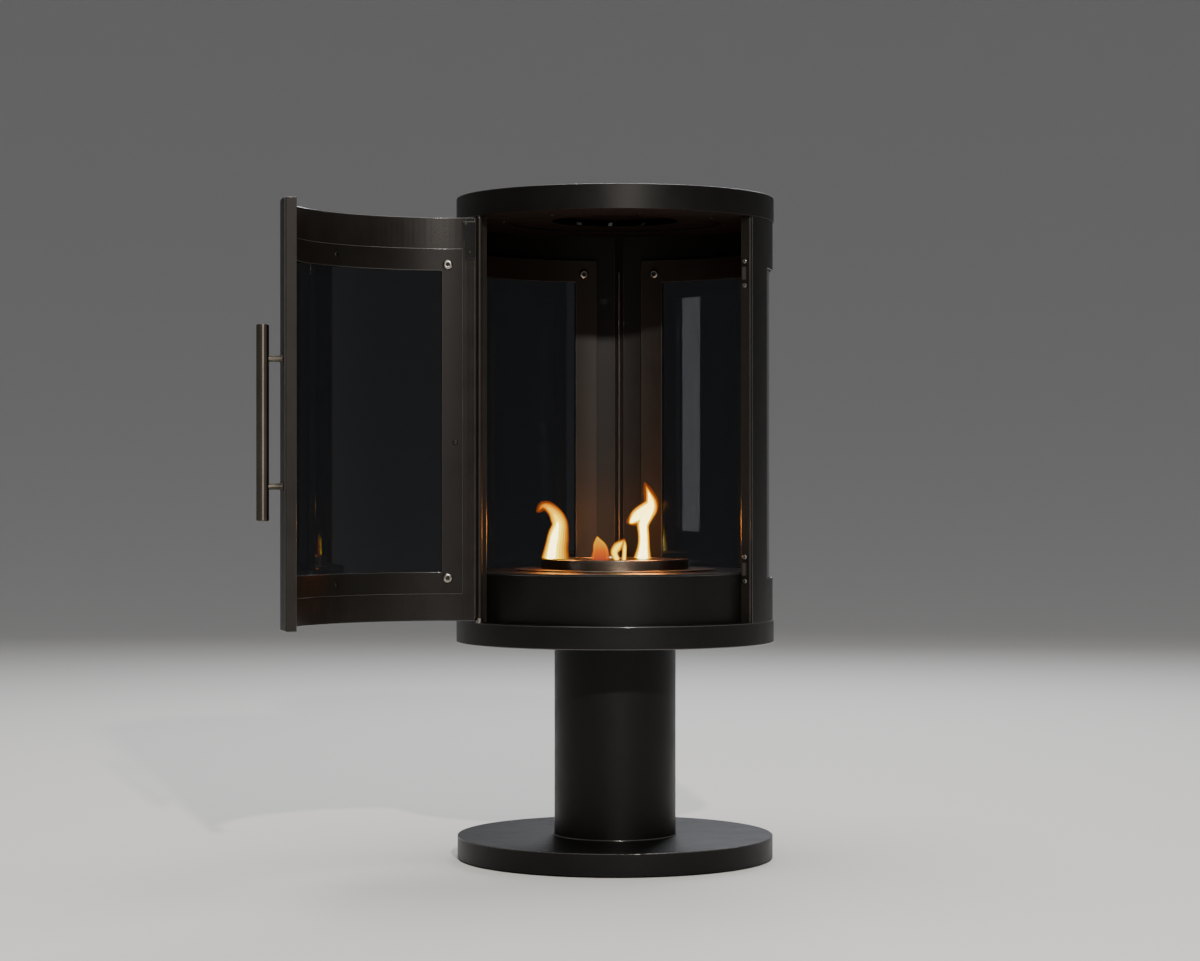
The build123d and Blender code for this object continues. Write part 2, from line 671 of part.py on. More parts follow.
def burner():
    """Lift-out burner: flange, collar, fuel cup, wool pad, slotted top and turning shutter."""
    flange_top = deck_top + burner_flange_t
    write("burner_flange", ring(cup_r + fit_gap, burner_flange_r, deck_top, flange_top))
    collar = ring(collar_r - collar_t, collar_r, flange_top, burner_top_z + collar_above_top)
    write("burner_collar", collar)
    cup_bottom = burner_top_z - cup_depth
    cup = disc(cup_r, cup_bottom, burner_top_z)
    cup = cup - disc(cup_r - cup_wall, cup_bottom + cup_wall, burner_top_z + cut_past)
    write("fuel_cup", cup)
    write("wool_pad", disc(cup_r - cup_wall - wool_gap, cup_bottom + cup_wall,
                           burner_top_z - wool_drop))
    plate_top = burner_top_z + burner_plate_t
    shutter_z = plate_top + shutter_gap
    shutter_top = shutter_z + burner_plate_t
    top = disc(collar_r - collar_t - fit_gap, burner_top_z, plate_top)
    shutter = ring(shutter_pin_r + pin_gap, cup_r, shutter_z, shutter_top)
    for i in range(slot_count):
        mid = i * 360 / slot_count
        slot = sector(slot_in_r, slot_out_r, mid - slot_deg / 2, mid + slot_deg / 2,
                      burner_top_z - cut_past, shutter_top + cut_past)
        top = top - slot
        shutter = shutter - slot
    tool_hole = polar(tool_hole_at, tool_hole_bearing)
    shutter = shutter - disc(tool_hole_r, shutter_z - cut_past, shutter_top + cut_past, tool_hole)
    write("burner_top", top)
    write("shutter_disc", shutter)
    pin = disc(shutter_pin_r, plate_top, shutter_top + shutter_gap)
    head_z = shutter_top + shutter_gap
    pin = pin + disc(shutter_pin_head_r, head_z, head_z + shutter_pin_head_t)
    write("shutter_pin", pin)


def main():
    """Write every node."""
    os.makedirs("parts", exist_ok=True)
    ballast_z0 = base()
    column(ballast_z0)
    drum()
    right_screws, right_gasket = side_window(1, "right")
    left_screws, left_gasket = side_window(-1, "left")
    write("window_clamp_screws", *right_screws, *left_screws)
    write("window_gaskets", right_gasket, left_gasket)
    write("jamb_latch_side", jamb(latch_jamb_bearing, 1))
    write("jamb_hinge_side", jamb(hinge_jamb_bearing, -1))
    rear_seam_pieces()
    catches()
    ceiling()
    pivots()
    clamp_smalls = door_panel()
    leaf_screws = door_edges()
    write_door("door_small_screws", *clamp_smalls, *leaf_screws)
    handle()
    burner()
    print("nodes:", len(os.listdir("parts")))


main()
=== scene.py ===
# %% [markdown]
# # A round bioethanol fireplace, dressed for its portrait
#
# The construction is already made: every steel sheet, pane and screw comes in as a fixed frame, in metres, and
# nothing here moves or resizes it. What is left to teach is how such an object gets its looks: how cut steel loses
# its razor edges, how powder coat differs from brushed stainless steel, and how a flame is built.

# %% Load the frame and note its box
import json
import math

import bmesh
import bpy
from mathutils import Matrix, Vector, noise

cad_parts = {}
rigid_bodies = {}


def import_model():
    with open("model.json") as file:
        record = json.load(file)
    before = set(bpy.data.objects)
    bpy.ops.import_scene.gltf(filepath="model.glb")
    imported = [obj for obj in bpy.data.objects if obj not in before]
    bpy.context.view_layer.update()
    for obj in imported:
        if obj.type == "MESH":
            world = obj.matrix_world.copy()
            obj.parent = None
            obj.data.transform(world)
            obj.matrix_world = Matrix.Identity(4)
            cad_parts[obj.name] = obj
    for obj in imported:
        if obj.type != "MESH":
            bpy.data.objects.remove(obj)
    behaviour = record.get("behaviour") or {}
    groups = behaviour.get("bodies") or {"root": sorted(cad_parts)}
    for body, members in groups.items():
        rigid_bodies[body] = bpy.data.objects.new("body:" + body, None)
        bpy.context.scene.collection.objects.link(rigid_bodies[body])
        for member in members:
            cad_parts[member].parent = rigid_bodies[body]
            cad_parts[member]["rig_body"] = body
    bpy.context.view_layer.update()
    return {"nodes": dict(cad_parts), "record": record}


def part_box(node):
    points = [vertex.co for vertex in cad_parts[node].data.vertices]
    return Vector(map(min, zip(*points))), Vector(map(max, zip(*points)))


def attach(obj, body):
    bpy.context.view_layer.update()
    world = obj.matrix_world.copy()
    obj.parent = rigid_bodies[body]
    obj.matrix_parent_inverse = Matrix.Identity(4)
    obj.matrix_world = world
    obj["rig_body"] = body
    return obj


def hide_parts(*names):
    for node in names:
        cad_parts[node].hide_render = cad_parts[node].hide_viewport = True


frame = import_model()
MM = 0.001

# %% [markdown]
# ## Stage, camera and light
#
# The photograph was taken from in front, level, from about four metres, with a long lens. The lens and the place
# below were worked out from the ellipses of the drum's rings, so the same curves fall on the same spots.

# %% The camera
FRAME_W = 1200
FOCAL_PX = 2840.8
SENSOR_W = 36.0
CAMERA_AT = (0.0004, -3.9457, 0.5164)
PITCH_UP = 0.0015
TURN_LEFT = 0.0054


def put(name, data):
    """A new object in the scene that shows a mesh, lamp or camera."""
    thing = bpy.data.objects.new(name, data)
    bpy.context.scene.collection.objects.link(thing)
    return thing


camera_data = bpy.data.cameras.new("portrait_lens")
camera_data.sensor_width = SENSOR_W
camera_data.lens = FOCAL_PX / FRAME_W * SENSOR_W
camera = put("portrait_camera", camera_data)
camera.location = CAMERA_AT
camera.rotation_euler = (math.pi / 2 + PITCH_UP, 0, TURN_LEFT)
bpy.context.scene.camera = camera
print("lens:", round(camera_data.lens, 2), "mm")

# %% [markdown]
# Colours are written as the hex values a painter would read off a screen. Blender's shaders want linear light, so one
# function turns hex into linear numbers, and everything goes through it.


# %% Colour and node helpers
def colour(hex_code):
    """Linear RGBA from an sRGB hex value such as '#1b1a19'."""
    channels = [int(hex_code[i:i + 2], 16) / 255 for i in (1, 3, 5)]
    linear = [c / 12.92 if c <= 0.04045 else ((c + 0.055) / 1.055) ** 2.4 for c in channels]
    return (*linear, 1.0)


def add(tree, kind, settings=None, **links):
    """Add a node with its settings; a link is socket_name=value or (node, socket)."""
    made = tree.nodes.new(kind)
    for name, value in (settings or {}).items():
        setattr(made, name, value)
    for name, value in links.items():
        socket = made.inputs[int(name[1:])] if name[1:].isdigit() else made.inputs[name.replace("_", " ")]
        if isinstance(value, tuple) and isinstance(value[0], bpy.types.Node):
            tree.links.new(value[0].outputs[value[1]], socket)
        else:
            socket.default_value = value
    return made


def new_material(name):
    """An empty node material, with its output node."""
    material = bpy.data.materials.new(name)
    material.use_nodes = True
    material.node_tree.nodes.clear()
    return material, material.node_tree, add(material.node_tree, "ShaderNodeOutputMaterial")


print("#808080 in linear light:", [round(c, 4) for c in colour("#808080")])

# %% [markdown]
# The floor is plain pale paper. It runs flat under the object and then curves up all round it like a shallow bowl, as
# in a round studio, so the stage looks alike from any side. The wall is greyer than the floor, because the dark paint
# mirrors it. It is stage, and no part of the object.

# %% The paper bowl
FLOOR_R = 6.0
BEND_R = 3.0
WALL_TOP = 6.5
AROUND = 96
BEND_STEPS = 16
PAPER_RINGS = (0.8, 2.5, FLOOR_R)
FADE_FROM = 2.0
PAPER_MM = 11.11

profile = [(ring, 0.0) for ring in PAPER_RINGS]
for step in range(1, BEND_STEPS + 1):
    turn = step / BEND_STEPS * math.pi / 2
    profile.append((FLOOR_R + BEND_R * math.sin(turn), BEND_R - BEND_R * math.cos(turn)))
profile.append((FLOOR_R + BEND_R, WALL_TOP))
points = [(r * math.cos(2 * math.pi * k / AROUND), r * math.sin(2 * math.pi * k / AROUND), z)
          for r, z in profile for k in range(AROUND)]
faces = [(i * AROUND + k, (i + 1) * AROUND + k, (i + 1) * AROUND + (k + 1) % AROUND,
          i * AROUND + (k + 1) % AROUND) for i in range(len(profile) - 1) for k in range(AROUND)]
bowl_mesh = bpy.data.meshes.new("paper_bowl")
bowl_mesh.from_pydata(points, [], [*faces, tuple(range(AROUND))])
bowl_mesh.shade_smooth()
bowl = put("paper_bowl", bowl_mesh)
paper, tree, out = new_material("matt_studio_paper")
coords = add(tree, "ShaderNodeTexCoord")
fibre = add(tree, "ShaderNodeTexNoise", Vector=(coords, "Object"), Scale=1 / (PAPER_MM * MM), Detail=3.0)
bump = add(tree, "ShaderNodeBump", Strength=0.05, Distance=2 * MM, Height=(fibre, "Fac"))
far = add(tree, "ShaderNodeVectorMath", {"operation": "LENGTH"}, _0=(coords, "Object"))
fade = add(tree, "ShaderNodeMapRange", {"interpolation_type": "SMOOTHSTEP"}, Value=(far, "Value"),
           From_Min=FADE_FROM, From_Max=FLOOR_R + BEND_R)
tint = add(tree, "ShaderNodeMix", {"data_type": "RGBA"}, Factor=(fade, 0), _6=colour("#efedea"),
           _7=colour("#a2a2a4"))
shader = add(tree, "ShaderNodeBsdfPrincipled", Base_Color=(tint, 2), Roughness=0.9, Specular_IOR_Level=0.1,
             Normal=(bump, 0))
tree.links.new(shader.outputs[0], out.inputs[0])
bowl.data.materials.append(paper)
print("paper bowl faces:", len(bowl_mesh.polygons))

# %% [markdown]
# Dark satin metal shows its shape only by what it reflects. In the photograph a small light stands high behind the
# camera: it lays a highlight down the middle of every round face, and drops the drum's shadow, sharp-edged, on the
# column. A second box, low and to the left, shows again as a pale strip in the right-hand pane. The two large boxes
# behind and overhead are for the other views, and keep the shadows open.


# %% Soft studio lights
def soft_box(name, at, aim, size, power, tint):
    """A rectangular light that looks at a point and isn't seen by the camera."""
    data = bpy.data.lights.new(name, "AREA")
    data.shape = "RECTANGLE"
    data.size, data.size_y = size
    data.energy = power
    data.color = colour(tint)[:3]
    light = put(name, data)
    light.location = at
    light.rotation_euler = (Vector(aim) - Vector(at)).to_track_quat("-Z", "Y").to_euler()
    light.visible_camera = False


DRUM_MID = (0.0, 0.0, 0.55)
RIGHT_PANE = (0.1, 0.18, 0.62)
UNDERFOOT = (0.0, 0.0, 0.0)
SOFT_BOXES = (  # name, place and aim in metres, width and height, watts, tint
    ("key_behind_camera", (0.72, -4.5, 2.38), DRUM_MID, (0.12, 0.12), 160, "#fff6ec"),
    ("low_left_strip", (-2.55, -1.22, 0.767), RIGHT_PANE, (0.80, 0.736), 34, "#fbf6f4"),
    ("rear_box", (0.5, 3.7, 2.7), DRUM_MID, (1.4, 1.0), 55, "#f4f7ff"),
    ("ceiling_bounce", (0.0, 0.3, 4.2), UNDERFOOT, (3.0, 3.0), 110, "#ffffff"),
)
for box in SOFT_BOXES:
    soft_box(*box)
world = bpy.data.worlds.new("plain_grey_room")
bpy.context.scene.world = world
world.use_nodes = True
backdrop = world.node_tree.nodes["Background"]
backdrop.inputs["Color"].default_value = colour("#d2d3d4")
backdrop.inputs["Strength"].default_value = 0.5

# %% [markdown]
# ## Finishes
#
# Each finish starts from what the real surface is and how it was made. Powder coat is plastic dust baked onto steel:
# it flows but never levels out fully, which leaves a fine orange peel and a satin sheen. The peel's true pitch, about
# 1 mm, is near the limit of what the portrait shows, so it is drawn a little coarser than life.


# %% Powder coat and heat-proof paint
CLOUD_MM = 38.46
SPECK_MM = 1.4286


def painted_steel(name, base, patch, peel_mm, peel_depth, roughness, spread, specks=0.0, facets_about=None,
                  reflection=0.2):
    """Satin paint on steel: cloudy colour, uneven sheen and orange peel; facets_about is a bend axis (x, y)."""
    material, tree, out = new_material(name)
    coords = add(tree, "ShaderNodeTexCoord")
    clouds = add(tree, "ShaderNodeTexNoise", Vector=(coords, "Object"), Scale=1 / (CLOUD_MM * MM), Detail=7.0,
                 Roughness=0.65)
    tint = add(tree, "ShaderNodeMix", {"data_type": "RGBA"}, Factor=(clouds, "Fac"), _6=colour(base),
               _7=colour(patch))
    grain = add(tree, "ShaderNodeTexNoise", Vector=(coords, "Object"), Scale=1 / (SPECK_MM * MM), Detail=2.0)
    dust = add(tree, "ShaderNodeMapRange", Value=(grain, "Fac"), From_Min=0.62, From_Max=0.8, To_Max=specks)
    speckled = add(tree, "ShaderNodeMix", {"data_type": "RGBA"}, Factor=(dust, 0), _6=(tint, 2), _7=colour("#8a8378"))
    sheen = add(tree, "ShaderNodeMapRange", Value=(clouds, "Fac"), From_Min=0.3, From_Max=0.7,
                To_Min=roughness - spread, To_Max=roughness + spread)
    peel = add(tree, "ShaderNodeTexNoise", Vector=(coords, "Object"), Scale=1 / (peel_mm * MM), Detail=1.5)
    bump = add(tree, "ShaderNodeBump", Strength=peel_depth, Distance=0.3 * MM, Height=(peel, "Fac"))
    if facets_about:
        tree.links.new(press_facets(tree, coords, facets_about).outputs[0], bump.inputs["Normal"])
    shader = add(tree, "ShaderNodeBsdfPrincipled", Base_Color=(speckled, 2), Roughness=(sheen, 0),
                 Normal=(bump, 0), Specular_IOR_Level=reflection)
    tree.links.new(shader.outputs[0], out.inputs[0])
    return material


print("paint has clouds of", CLOUD_MM, "mm and dust of", SPECK_MM, "mm")

# %% [markdown]
# The door's curved rails were bent in a press, stroke by stroke, so they are really a row of narrow flats. Each flat
# throws the light its own way, which shows as upright streaks. Shut, the door bends about the drum's own axis. Here
# it stands open, so that axis is turned back about the hinge by the whole swing. No two strokes are quite alike, so
# the heights of the flats wander a little.

# %% Flats left by the bending press
FLAT_MM = 7.5
WANDER_MM = 21.43
RAIL_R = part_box("deck_plate")[1].x


def open_door_axis():
    """The drum's axis as the open door carries it, in plan."""
    hinge = next(j for j in frame["record"]["behaviour"]["joints"] if j["name"] == "door_hinge")
    pin = Vector(hinge["pos_m"][:2])
    swing = math.radians(max(hinge["range_deg"]))
    back = Matrix.Rotation(-swing, 2) @ -pin
    return pin + back


def press_facets(tree, coords, axis):
    """Bump of flat strokes round an axis."""
    split = add(tree, "ShaderNodeSeparateXYZ", Vector=(coords, "Object"))
    dx = add(tree, "ShaderNodeMath", {"operation": "SUBTRACT"}, _0=axis[0], _1=(split, "X"))
    dy = add(tree, "ShaderNodeMath", {"operation": "SUBTRACT"}, _0=(split, "Y"), _1=axis[1])
    turn = add(tree, "ShaderNodeMath", {"operation": "ARCTAN2"}, _0=(dy, 0), _1=(dx, 0))
    count = add(tree, "ShaderNodeMath", {"operation": "MULTIPLY"}, _0=(turn, 0), _1=RAIL_R / (FLAT_MM * MM))
    cell = add(tree, "ShaderNodeMath", {"operation": "FRACT"}, _0=(count, 0))
    middle = add(tree, "ShaderNodeMath", {"operation": "SUBTRACT"}, _0=(cell, 0), _1=0.5)
    bow = add(tree, "ShaderNodeMath", {"operation": "MULTIPLY"}, _0=(middle, 0), _1=(middle, 0))
    wander = add(tree, "ShaderNodeTexNoise", {"noise_dimensions": "1D"}, W=(count, 0), Scale=FLAT_MM / WANDER_MM,
                 Detail=2.0)
    sway = add(tree, "ShaderNodeMath", {"operation": "MULTIPLY"}, _0=(wander, "Fac"), _1=1.6)
    height = add(tree, "ShaderNodeMath", {"operation": "SUBTRACT"}, _0=(sway, 0), _1=(bow, 0))
    return add(tree, "ShaderNodeBump", Strength=0.8, Distance=0.2 * MM, Height=(height, 0))


DOOR_AXIS = open_door_axis()
print("axis of the open door:", [round(c, 4) for c in DOOR_AXIS])

# %% [markdown]
# Outside, the stove is powder coated: near black, satin. Inside it is painted with heat-proof paint, which is browner
# and mirrors a little more, and soot makes the ceiling matt. Where a sheet's edge was ground before painting, the
# coat is thin and stretched tight, so it shines more. The edge coat is also much lighter in colour than the paint,
# which is a painted highlight. It goes only on the narrow bevels, and draws the thin bright lines round every panel.

# %% The paints of the stove
powder_coat = painted_steel("satin_black_powder_coat_on_steel", "#090908", "#121110", 1.6, 0.35, 0.42, 0.05, 0.05)
inner_paint = painted_steel("heatproof_black_paint_on_steel", "#15120f", "#211c17", 2.2, 0.25, 0.44, 0.06, 0.04,
                            reflection=0.27)
rail_paint = painted_steel("heatproof_black_paint_on_pressed_rails", "#110e0c", "#1b1713", 2.2, 0.25, 0.38, 0.05,
                           0.04, facets_about=DOOR_AXIS, reflection=0.24)
clamp_paint = painted_steel("heatproof_black_paint_on_clamp_plate", "#0e0c0a", "#171411", 2.2, 0.25, 0.42, 0.05,
                            0.04)
# Soot darkens the ceiling, baffle and deflector; on the rear strip's inner faces the same dark paint is painted
# shade.
soot_and_shade_paint = painted_steel("sooted_black_paint_near_the_fire", "#060505", "#0d0b09", 2.2, 0.3, 0.75, 0.08)
# Much lighter than the paint it edges: a painted highlight, on top of the real thin, tight coat.
edge_coat_painted_highlight = painted_steel("thin_tight_coat_on_ground_edges", "#2e2d2b", "#3a3836", 1.6, 0.1, 0.22, 0.04,
                          reflection=1.0)
hinge_leaf_coat = painted_steel("phosphated_steel_hinge_leaf", "#060605", "#0c0b0a", 1.0, 0.3, 0.55, 0.08)
primed_steel = painted_steel("grey_primer_on_steel", "#1a1a19", "#232322", 1.2, 0.2, 0.6, 0.05)
print("paints:", [m.name for m in (powder_coat, inner_paint, rail_paint, clamp_paint, soot_and_shade_paint, edge_coat_painted_highlight)])

# %% [markdown]
# Brushed stainless steel is scratched all one way by an abrasive belt, so its highlights stretch across the
# scratches. The scratches are noise squeezed along one axis: nearly constant along the brushing, and quick across it.
# A stretch below one turns that round, for a bar that is scratched round and round. A turned part is scratched in
# circles instead, so its noise is read from the distance to the turning axis and the height. Real scratches are finer
# than a tenth of a millimetre, too fine to show here, so they are drawn coarser than life.


# %% Stainless steel and other metals
HEAT_MM = 45.45
ROUGH_SPREAD = 0.08


def brushed_metal(name, base, stain, roughness, along=None, stretch=60.0, pitch_mm=0.8, depth=0.25, upright=0.0):
    """Metal with fine scratches along an axis, or in circles round the drum's axis where no axis is given.

    Scratches that run round an upright bar draw each reflection out along the bar; upright says how much.
    """
    material, tree, out = new_material(name)
    coords = add(tree, "ShaderNodeTexCoord")
    if along:
        squeeze = [1.0, 1.0, 1.0]
        squeeze["XYZ".index(along)] = 1 / stretch
        lay = add(tree, "ShaderNodeMapping", Vector=(coords, "Object"), Scale=squeeze)
    else:
        split = add(tree, "ShaderNodeSeparateXYZ", Vector=(coords, "Object"))
        flat = add(tree, "ShaderNodeCombineXYZ", X=(split, "X"), Y=(split, "Y"))
        radius = add(tree, "ShaderNodeVectorMath", {"operation": "LENGTH"}, _0=(flat, 0))
        lay = add(tree, "ShaderNodeCombineXYZ", X=(radius, "Value"), Z=(split, "Z"))
    scratch = add(tree, "ShaderNodeTexNoise", Vector=(lay, 0), Scale=1 / (pitch_mm * MM), Detail=3.0)
    heat = add(tree, "ShaderNodeTexNoise", Vector=(coords, "Object"), Scale=1 / (HEAT_MM * MM), Detail=3.0)
    tint = add(tree, "ShaderNodeMix", {"data_type": "RGBA"}, Factor=(heat, "Fac"), _6=colour(base), _7=colour(stain))
    rough = add(tree, "ShaderNodeMapRange", Value=(scratch, "Fac"), To_Min=roughness - ROUGH_SPREAD,
                To_Max=roughness + ROUGH_SPREAD)
    bump = add(tree, "ShaderNodeBump", Strength=depth, Distance=0.1 * MM, Height=(scratch, "Fac"))
    shader = add(tree, "ShaderNodeBsdfPrincipled", Base_Color=(tint, 2), Metallic=1.0, Roughness=(rough, 0),
                 Normal=(bump, 0), Anisotropic=upright, Anisotropic_Rotation=0.25)
    if upright:
        level = add(tree, "ShaderNodeTangent", {"direction_type": "RADIAL", "axis": "Z"})
        tree.links.new(level.outputs[0], shader.inputs["Tangent"])
    tree.links.new(shader.outputs[0], out.inputs[0])
    return material


print("brushed metals vary in roughness by", ROUGH_SPREAD, "either way")

# %% [markdown]
# The handle's bar is scratched round and round, so its highlight runs down the bar as one thin line. The burner is
# turned, and the heat has tinted it brown. Stainless screws stay bright, and bright zinc is a little bluer and
# duller. Black zinc is nearly as dark as the paint, with a metal's edge to its highlight.

# %% The metals of the stove
handle_steel = brushed_metal("brushed_stainless_handle_bar", "#5f5a52", "#4b4740", 0.40, along="Z", stretch=0.025,
                             pitch_mm=16.0, depth=0.08, upright=0.85)
burner_steel = brushed_metal("heat_tinted_turned_stainless_burner", "#8a7d70", "#665a4e", 0.34)
screw_steel = brushed_metal("turned_stainless_screws", "#a09c95", "#8b867e", 0.24, along="Z", stretch=4.0,
                            pitch_mm=0.5)
rim_steel = brushed_metal("ground_stainless_rim", "#c2b8aa", "#a3988a", 0.22)
dark_zinc = brushed_metal("black_zinc_plated_steel", "#3a3732", "#2c2a27", 0.38, along="Z", stretch=2.0,
                          pitch_mm=1.5)
zinc_steel = brushed_metal("bright_zinc_plated_steel", "#9fa2a6", "#8c9095", 0.34, along="Z", stretch=2.0,
                           pitch_mm=1.5)
print("metals:", [m.name for m in (handle_steel, burner_steel, rim_steel, screw_steel, dark_zinc, zinc_steel)])

# %% [markdown]
# Ceramic fire glass is clear, with a smoky tint that deepens where two panes overlap. It is a closed pane with real
# thickness, so it gets true transmission: light bends in and out, and the edges darken by themselves.

# %% Fire glass
RIPPLE_MM = 111.1
SMUDGE_MM = 40.0

fire_glass, tree, out = new_material("rolled_ceramic_fire_glass")
coords = add(tree, "ShaderNodeTexCoord")
ripple = add(tree, "ShaderNodeTexNoise", Vector=(coords, "Object"), Scale=1 / (RIPPLE_MM * MM), Detail=1.0)
bump = add(tree, "ShaderNodeBump", Strength=0.03, Distance=1 * MM, Height=(ripple, "Fac"))
smudge = add(tree, "ShaderNodeTexNoise", Vector=(coords, "Object"), Scale=1 / (SMUDGE_MM * MM), Detail=4.0)
haze = add(tree, "ShaderNodeMapRange", Value=(smudge, "Fac"), From_Min=0.4, From_Max=0.8, To_Min=0.0, To_Max=0.05)
shader = add(tree, "ShaderNodeBsdfPrincipled", Base_Color=colour("#45474a"), Roughness=(haze, 0), IOR=1.5,
             Transmission_Weight=1.0, Normal=(bump, 0))
tree.links.new(shader.outputs[0], out.inputs[0])
print("glass:", fire_glass.name)

# %% [markdown]
# The small parts nobody looks at still have a finish of their own: rubber that was moulded, tape that was woven from
# glass yarn, magnets that were pressed from powder, and felted ceramic wool.


# %% Rubber, tape, ferrite and wool
def matt_solid(name, base, fleck, scale_mm, roughness, depth):
    """Matt material with a noise of one real size in its colour and surface."""
    material, tree, out = new_material(name)
    coords = add(tree, "ShaderNodeTexCoord")
    noise = add(tree, "ShaderNodeTexNoise", Vector=(coords, "Object"), Scale=1 / (scale_mm * MM), Detail=4.0)
    tint = add(tree, "ShaderNodeMix", {"data_type": "RGBA"}, Factor=(noise, "Fac"), _6=colour(base), _7=colour(fleck))
    bump = add(tree, "ShaderNodeBump", Strength=depth, Distance=0.5 * MM, Height=(noise, "Fac"))
    shader = add(tree, "ShaderNodeBsdfPrincipled", Base_Color=(tint, 2), Roughness=roughness, Normal=(bump, 0))
    tree.links.new(shader.outputs[0], out.inputs[0])
    return material


def woven_tape(name, base, gap, pitch_mm):
    """Plain-woven tape: two crossed waves raise the yarns."""
    material, tree, out = new_material(name)
    coords = add(tree, "ShaderNodeTexCoord")
    waves = [add(tree, "ShaderNodeTexWave", {"bands_direction": axis}, Vector=(coords, "Object"),
                 Scale=0.5 / (pitch_mm * MM) / math.pi, Distortion=0.4) for axis in ("Z", "DIAGONAL")]
    cross = add(tree, "ShaderNodeMath", {"operation": "MULTIPLY"}, _0=(waves[0], "Fac"), _1=(waves[1], "Fac"))
    tint = add(tree, "ShaderNodeMix", {"data_type": "RGBA"}, Factor=(cross, 0), _6=colour(gap), _7=colour(base))
    bump = add(tree, "ShaderNodeBump", Strength=0.6, Distance=0.4 * MM, Height=(cross, 0))
    shader = add(tree, "ShaderNodeBsdfPrincipled", Base_Color=(tint, 2), Roughness=0.9, Normal=(bump, 0))
    tree.links.new(shader.outputs[0], out.inputs[0])
    return material


pad_rubber = matt_solid("moulded_black_rubber", "#131313", "#1d1d1c", 0.8, 0.75, 0.3)
ferrite = matt_solid("pressed_ferrite_magnet", "#2a2827", "#3a3735", 0.5, 0.55, 0.2)
ceramic_wool = matt_solid("felted_ceramic_wool", "#d9d2c4", "#b7ac98", 3.0, 0.95, 0.8)
gasket_tape = woven_tape("woven_glass_fibre_tape", "#2b2a29", "#131212", 1.2)
print("small finishes:", [m.name for m in (pad_rubber, ferrite, ceramic_wool, gasket_tape)])

# %% [markdown]
# ## From construction to object
#
# A frame part is a bag of loose triangles with razor edges. Real cut steel has its edges broken by a grinding disc
# and rounded again by the paint. So each part is copied, its triangles are merged, flat areas are dissolved into
# whole faces, and a narrow bevel goes round every sharp edge. Some parts bend about an upright axis, the stove's own
# or the open door's, and their faces get the exact round normals about it.

# %% Measures for edges and round faces
SAME_SPOT = 0.004 * MM
FLAT_WITHIN = math.radians(0.3)
SHARP_ABOVE = math.radians(32)
BEVEL_ABOVE = math.radians(40)
EDGE_LEAN = (0.25, 0.97)
EDGE_TURN = 0.3
ROUND_ENOUGH = math.cos(math.radians(8))
STOVE_AXIS = (0.0, 0.0)
ROUND_ABOUT = dict.fromkeys(("shell_left", "shell_right", "lower_pan", "column_tube", "drum_skirt", "rear_strip",
                             "window_clamp_left", "window_clamp_right", "window_glass_left", "window_glass_right",
                             "burner_collar", "base_cover", "top_band"), STOVE_AXIS)
ROUND_ABOUT.update(dict.fromkeys(("door_skin", "door_frame", "door_glass", "door_clamp"), DOOR_AXIS))
ROUNDED_ABOVE = ("top_band", "base_cover")
# Paints get the edge coat on their bevels, a painted highlight; the burner gets ground stainless steel.
EDGE_FINISH = {powder_coat: edge_coat_painted_highlight, inner_paint: edge_coat_painted_highlight, rail_paint: edge_coat_painted_highlight, clamp_paint: edge_coat_painted_highlight,
               hinge_leaf_coat: edge_coat_painted_highlight, burner_steel: rim_steel}
print("parts with exact round faces:", len(ROUND_ABOUT))

# %% [markdown]
# The triangles are merged in a copy, because the frame's own mesh has to stay as it is. Flat areas are dissolved
# next: a bevel runs clean only along whole faces.


# %% Merge a copy of a part
def merged_copy(node):
    """A copy of a part's mesh with its doubles merged and its flat areas whole."""
    mesh = frame["nodes"][node].data.copy()
    work = bmesh.new()
    work.from_mesh(mesh)
    bmesh.ops.remove_doubles(work, verts=work.verts, dist=SAME_SPOT)
    bmesh.ops.dissolve_limit(work, angle_limit=FLAT_WITHIN, verts=work.verts, edges=work.edges)
    work.to_mesh(mesh)
    work.free()
    mesh.materials.clear()
    return mesh


print("triangles of the lower pan before its merge:", len(frame["nodes"]["lower_pan"].data.polygons))

# %% [markdown]
# A round sheet comes in as narrow flats, which would mirror the lights in stripes. Each face that follows the axis
# gets the normal of the true round, and the narrow faces of the bevel roll into their neighbours.


# %% Exact normals for round faces
def away_from_axis(spot, axis):
    """Level direction from an upright axis to a spot."""
    return Vector((spot.x - axis[0], spot.y - axis[1], 0)).normalized()


def round_normal(face, away):
    """The exact round normal, on the side to which the face looks."""
    return away if face.normal.dot(away) > 0 else -away


def round_off(mesh, axis):
    """Give every face that follows an upright axis the exact round normal, and let the narrow edges roll into it."""
    faces_at, kinds = {}, []
    for face in mesh.polygons:
        is_round = abs(face.normal.dot(away_from_axis(face.center, axis))) > ROUND_ENOUGH
        is_edge = face.material_index == 1 or EDGE_LEAN[0] < abs(face.normal.z) < EDGE_LEAN[1]
        kinds.append("round" if is_round else "edge" if is_edge else "flat")
        for v in face.vertices:
            faces_at.setdefault(v, []).append(face.index)
    at_vertex = {}
    for v, around in faces_at.items():
        biggest = max(around, key=lambda i: mesh.polygons[i].area * (kinds[i] != "edge"))
        face = mesh.polygons[biggest]
        if kinds[biggest] == "round":
            at_vertex[v] = round_normal(face, away_from_axis(mesh.vertices[v].co, axis))
        elif kinds[biggest] == "flat":
            at_vertex[v] = face.normal.copy()
        else:
            total = sum((mesh.polygons[i].normal * mesh.polygons[i].area for i in around), Vector())
            at_vertex[v] = total.normalized()
    normals = []
    for face, kind in zip(mesh.polygons, kinds):
        for v in face.vertices:
            if kind == "round":
                normals.append(round_normal(face, away_from_axis(mesh.vertices[v].co, axis)))
            elif kind == "edge" and face.normal.dot(at_vertex[v]) > EDGE_TURN:
                normals.append(at_vertex[v])
            else:
                normals.append(face.normal.copy())
    mesh.normals_split_custom_set(normals)


print("a face counts as round within", round(math.degrees(math.acos(ROUND_ENOUGH)), 1), "degrees")
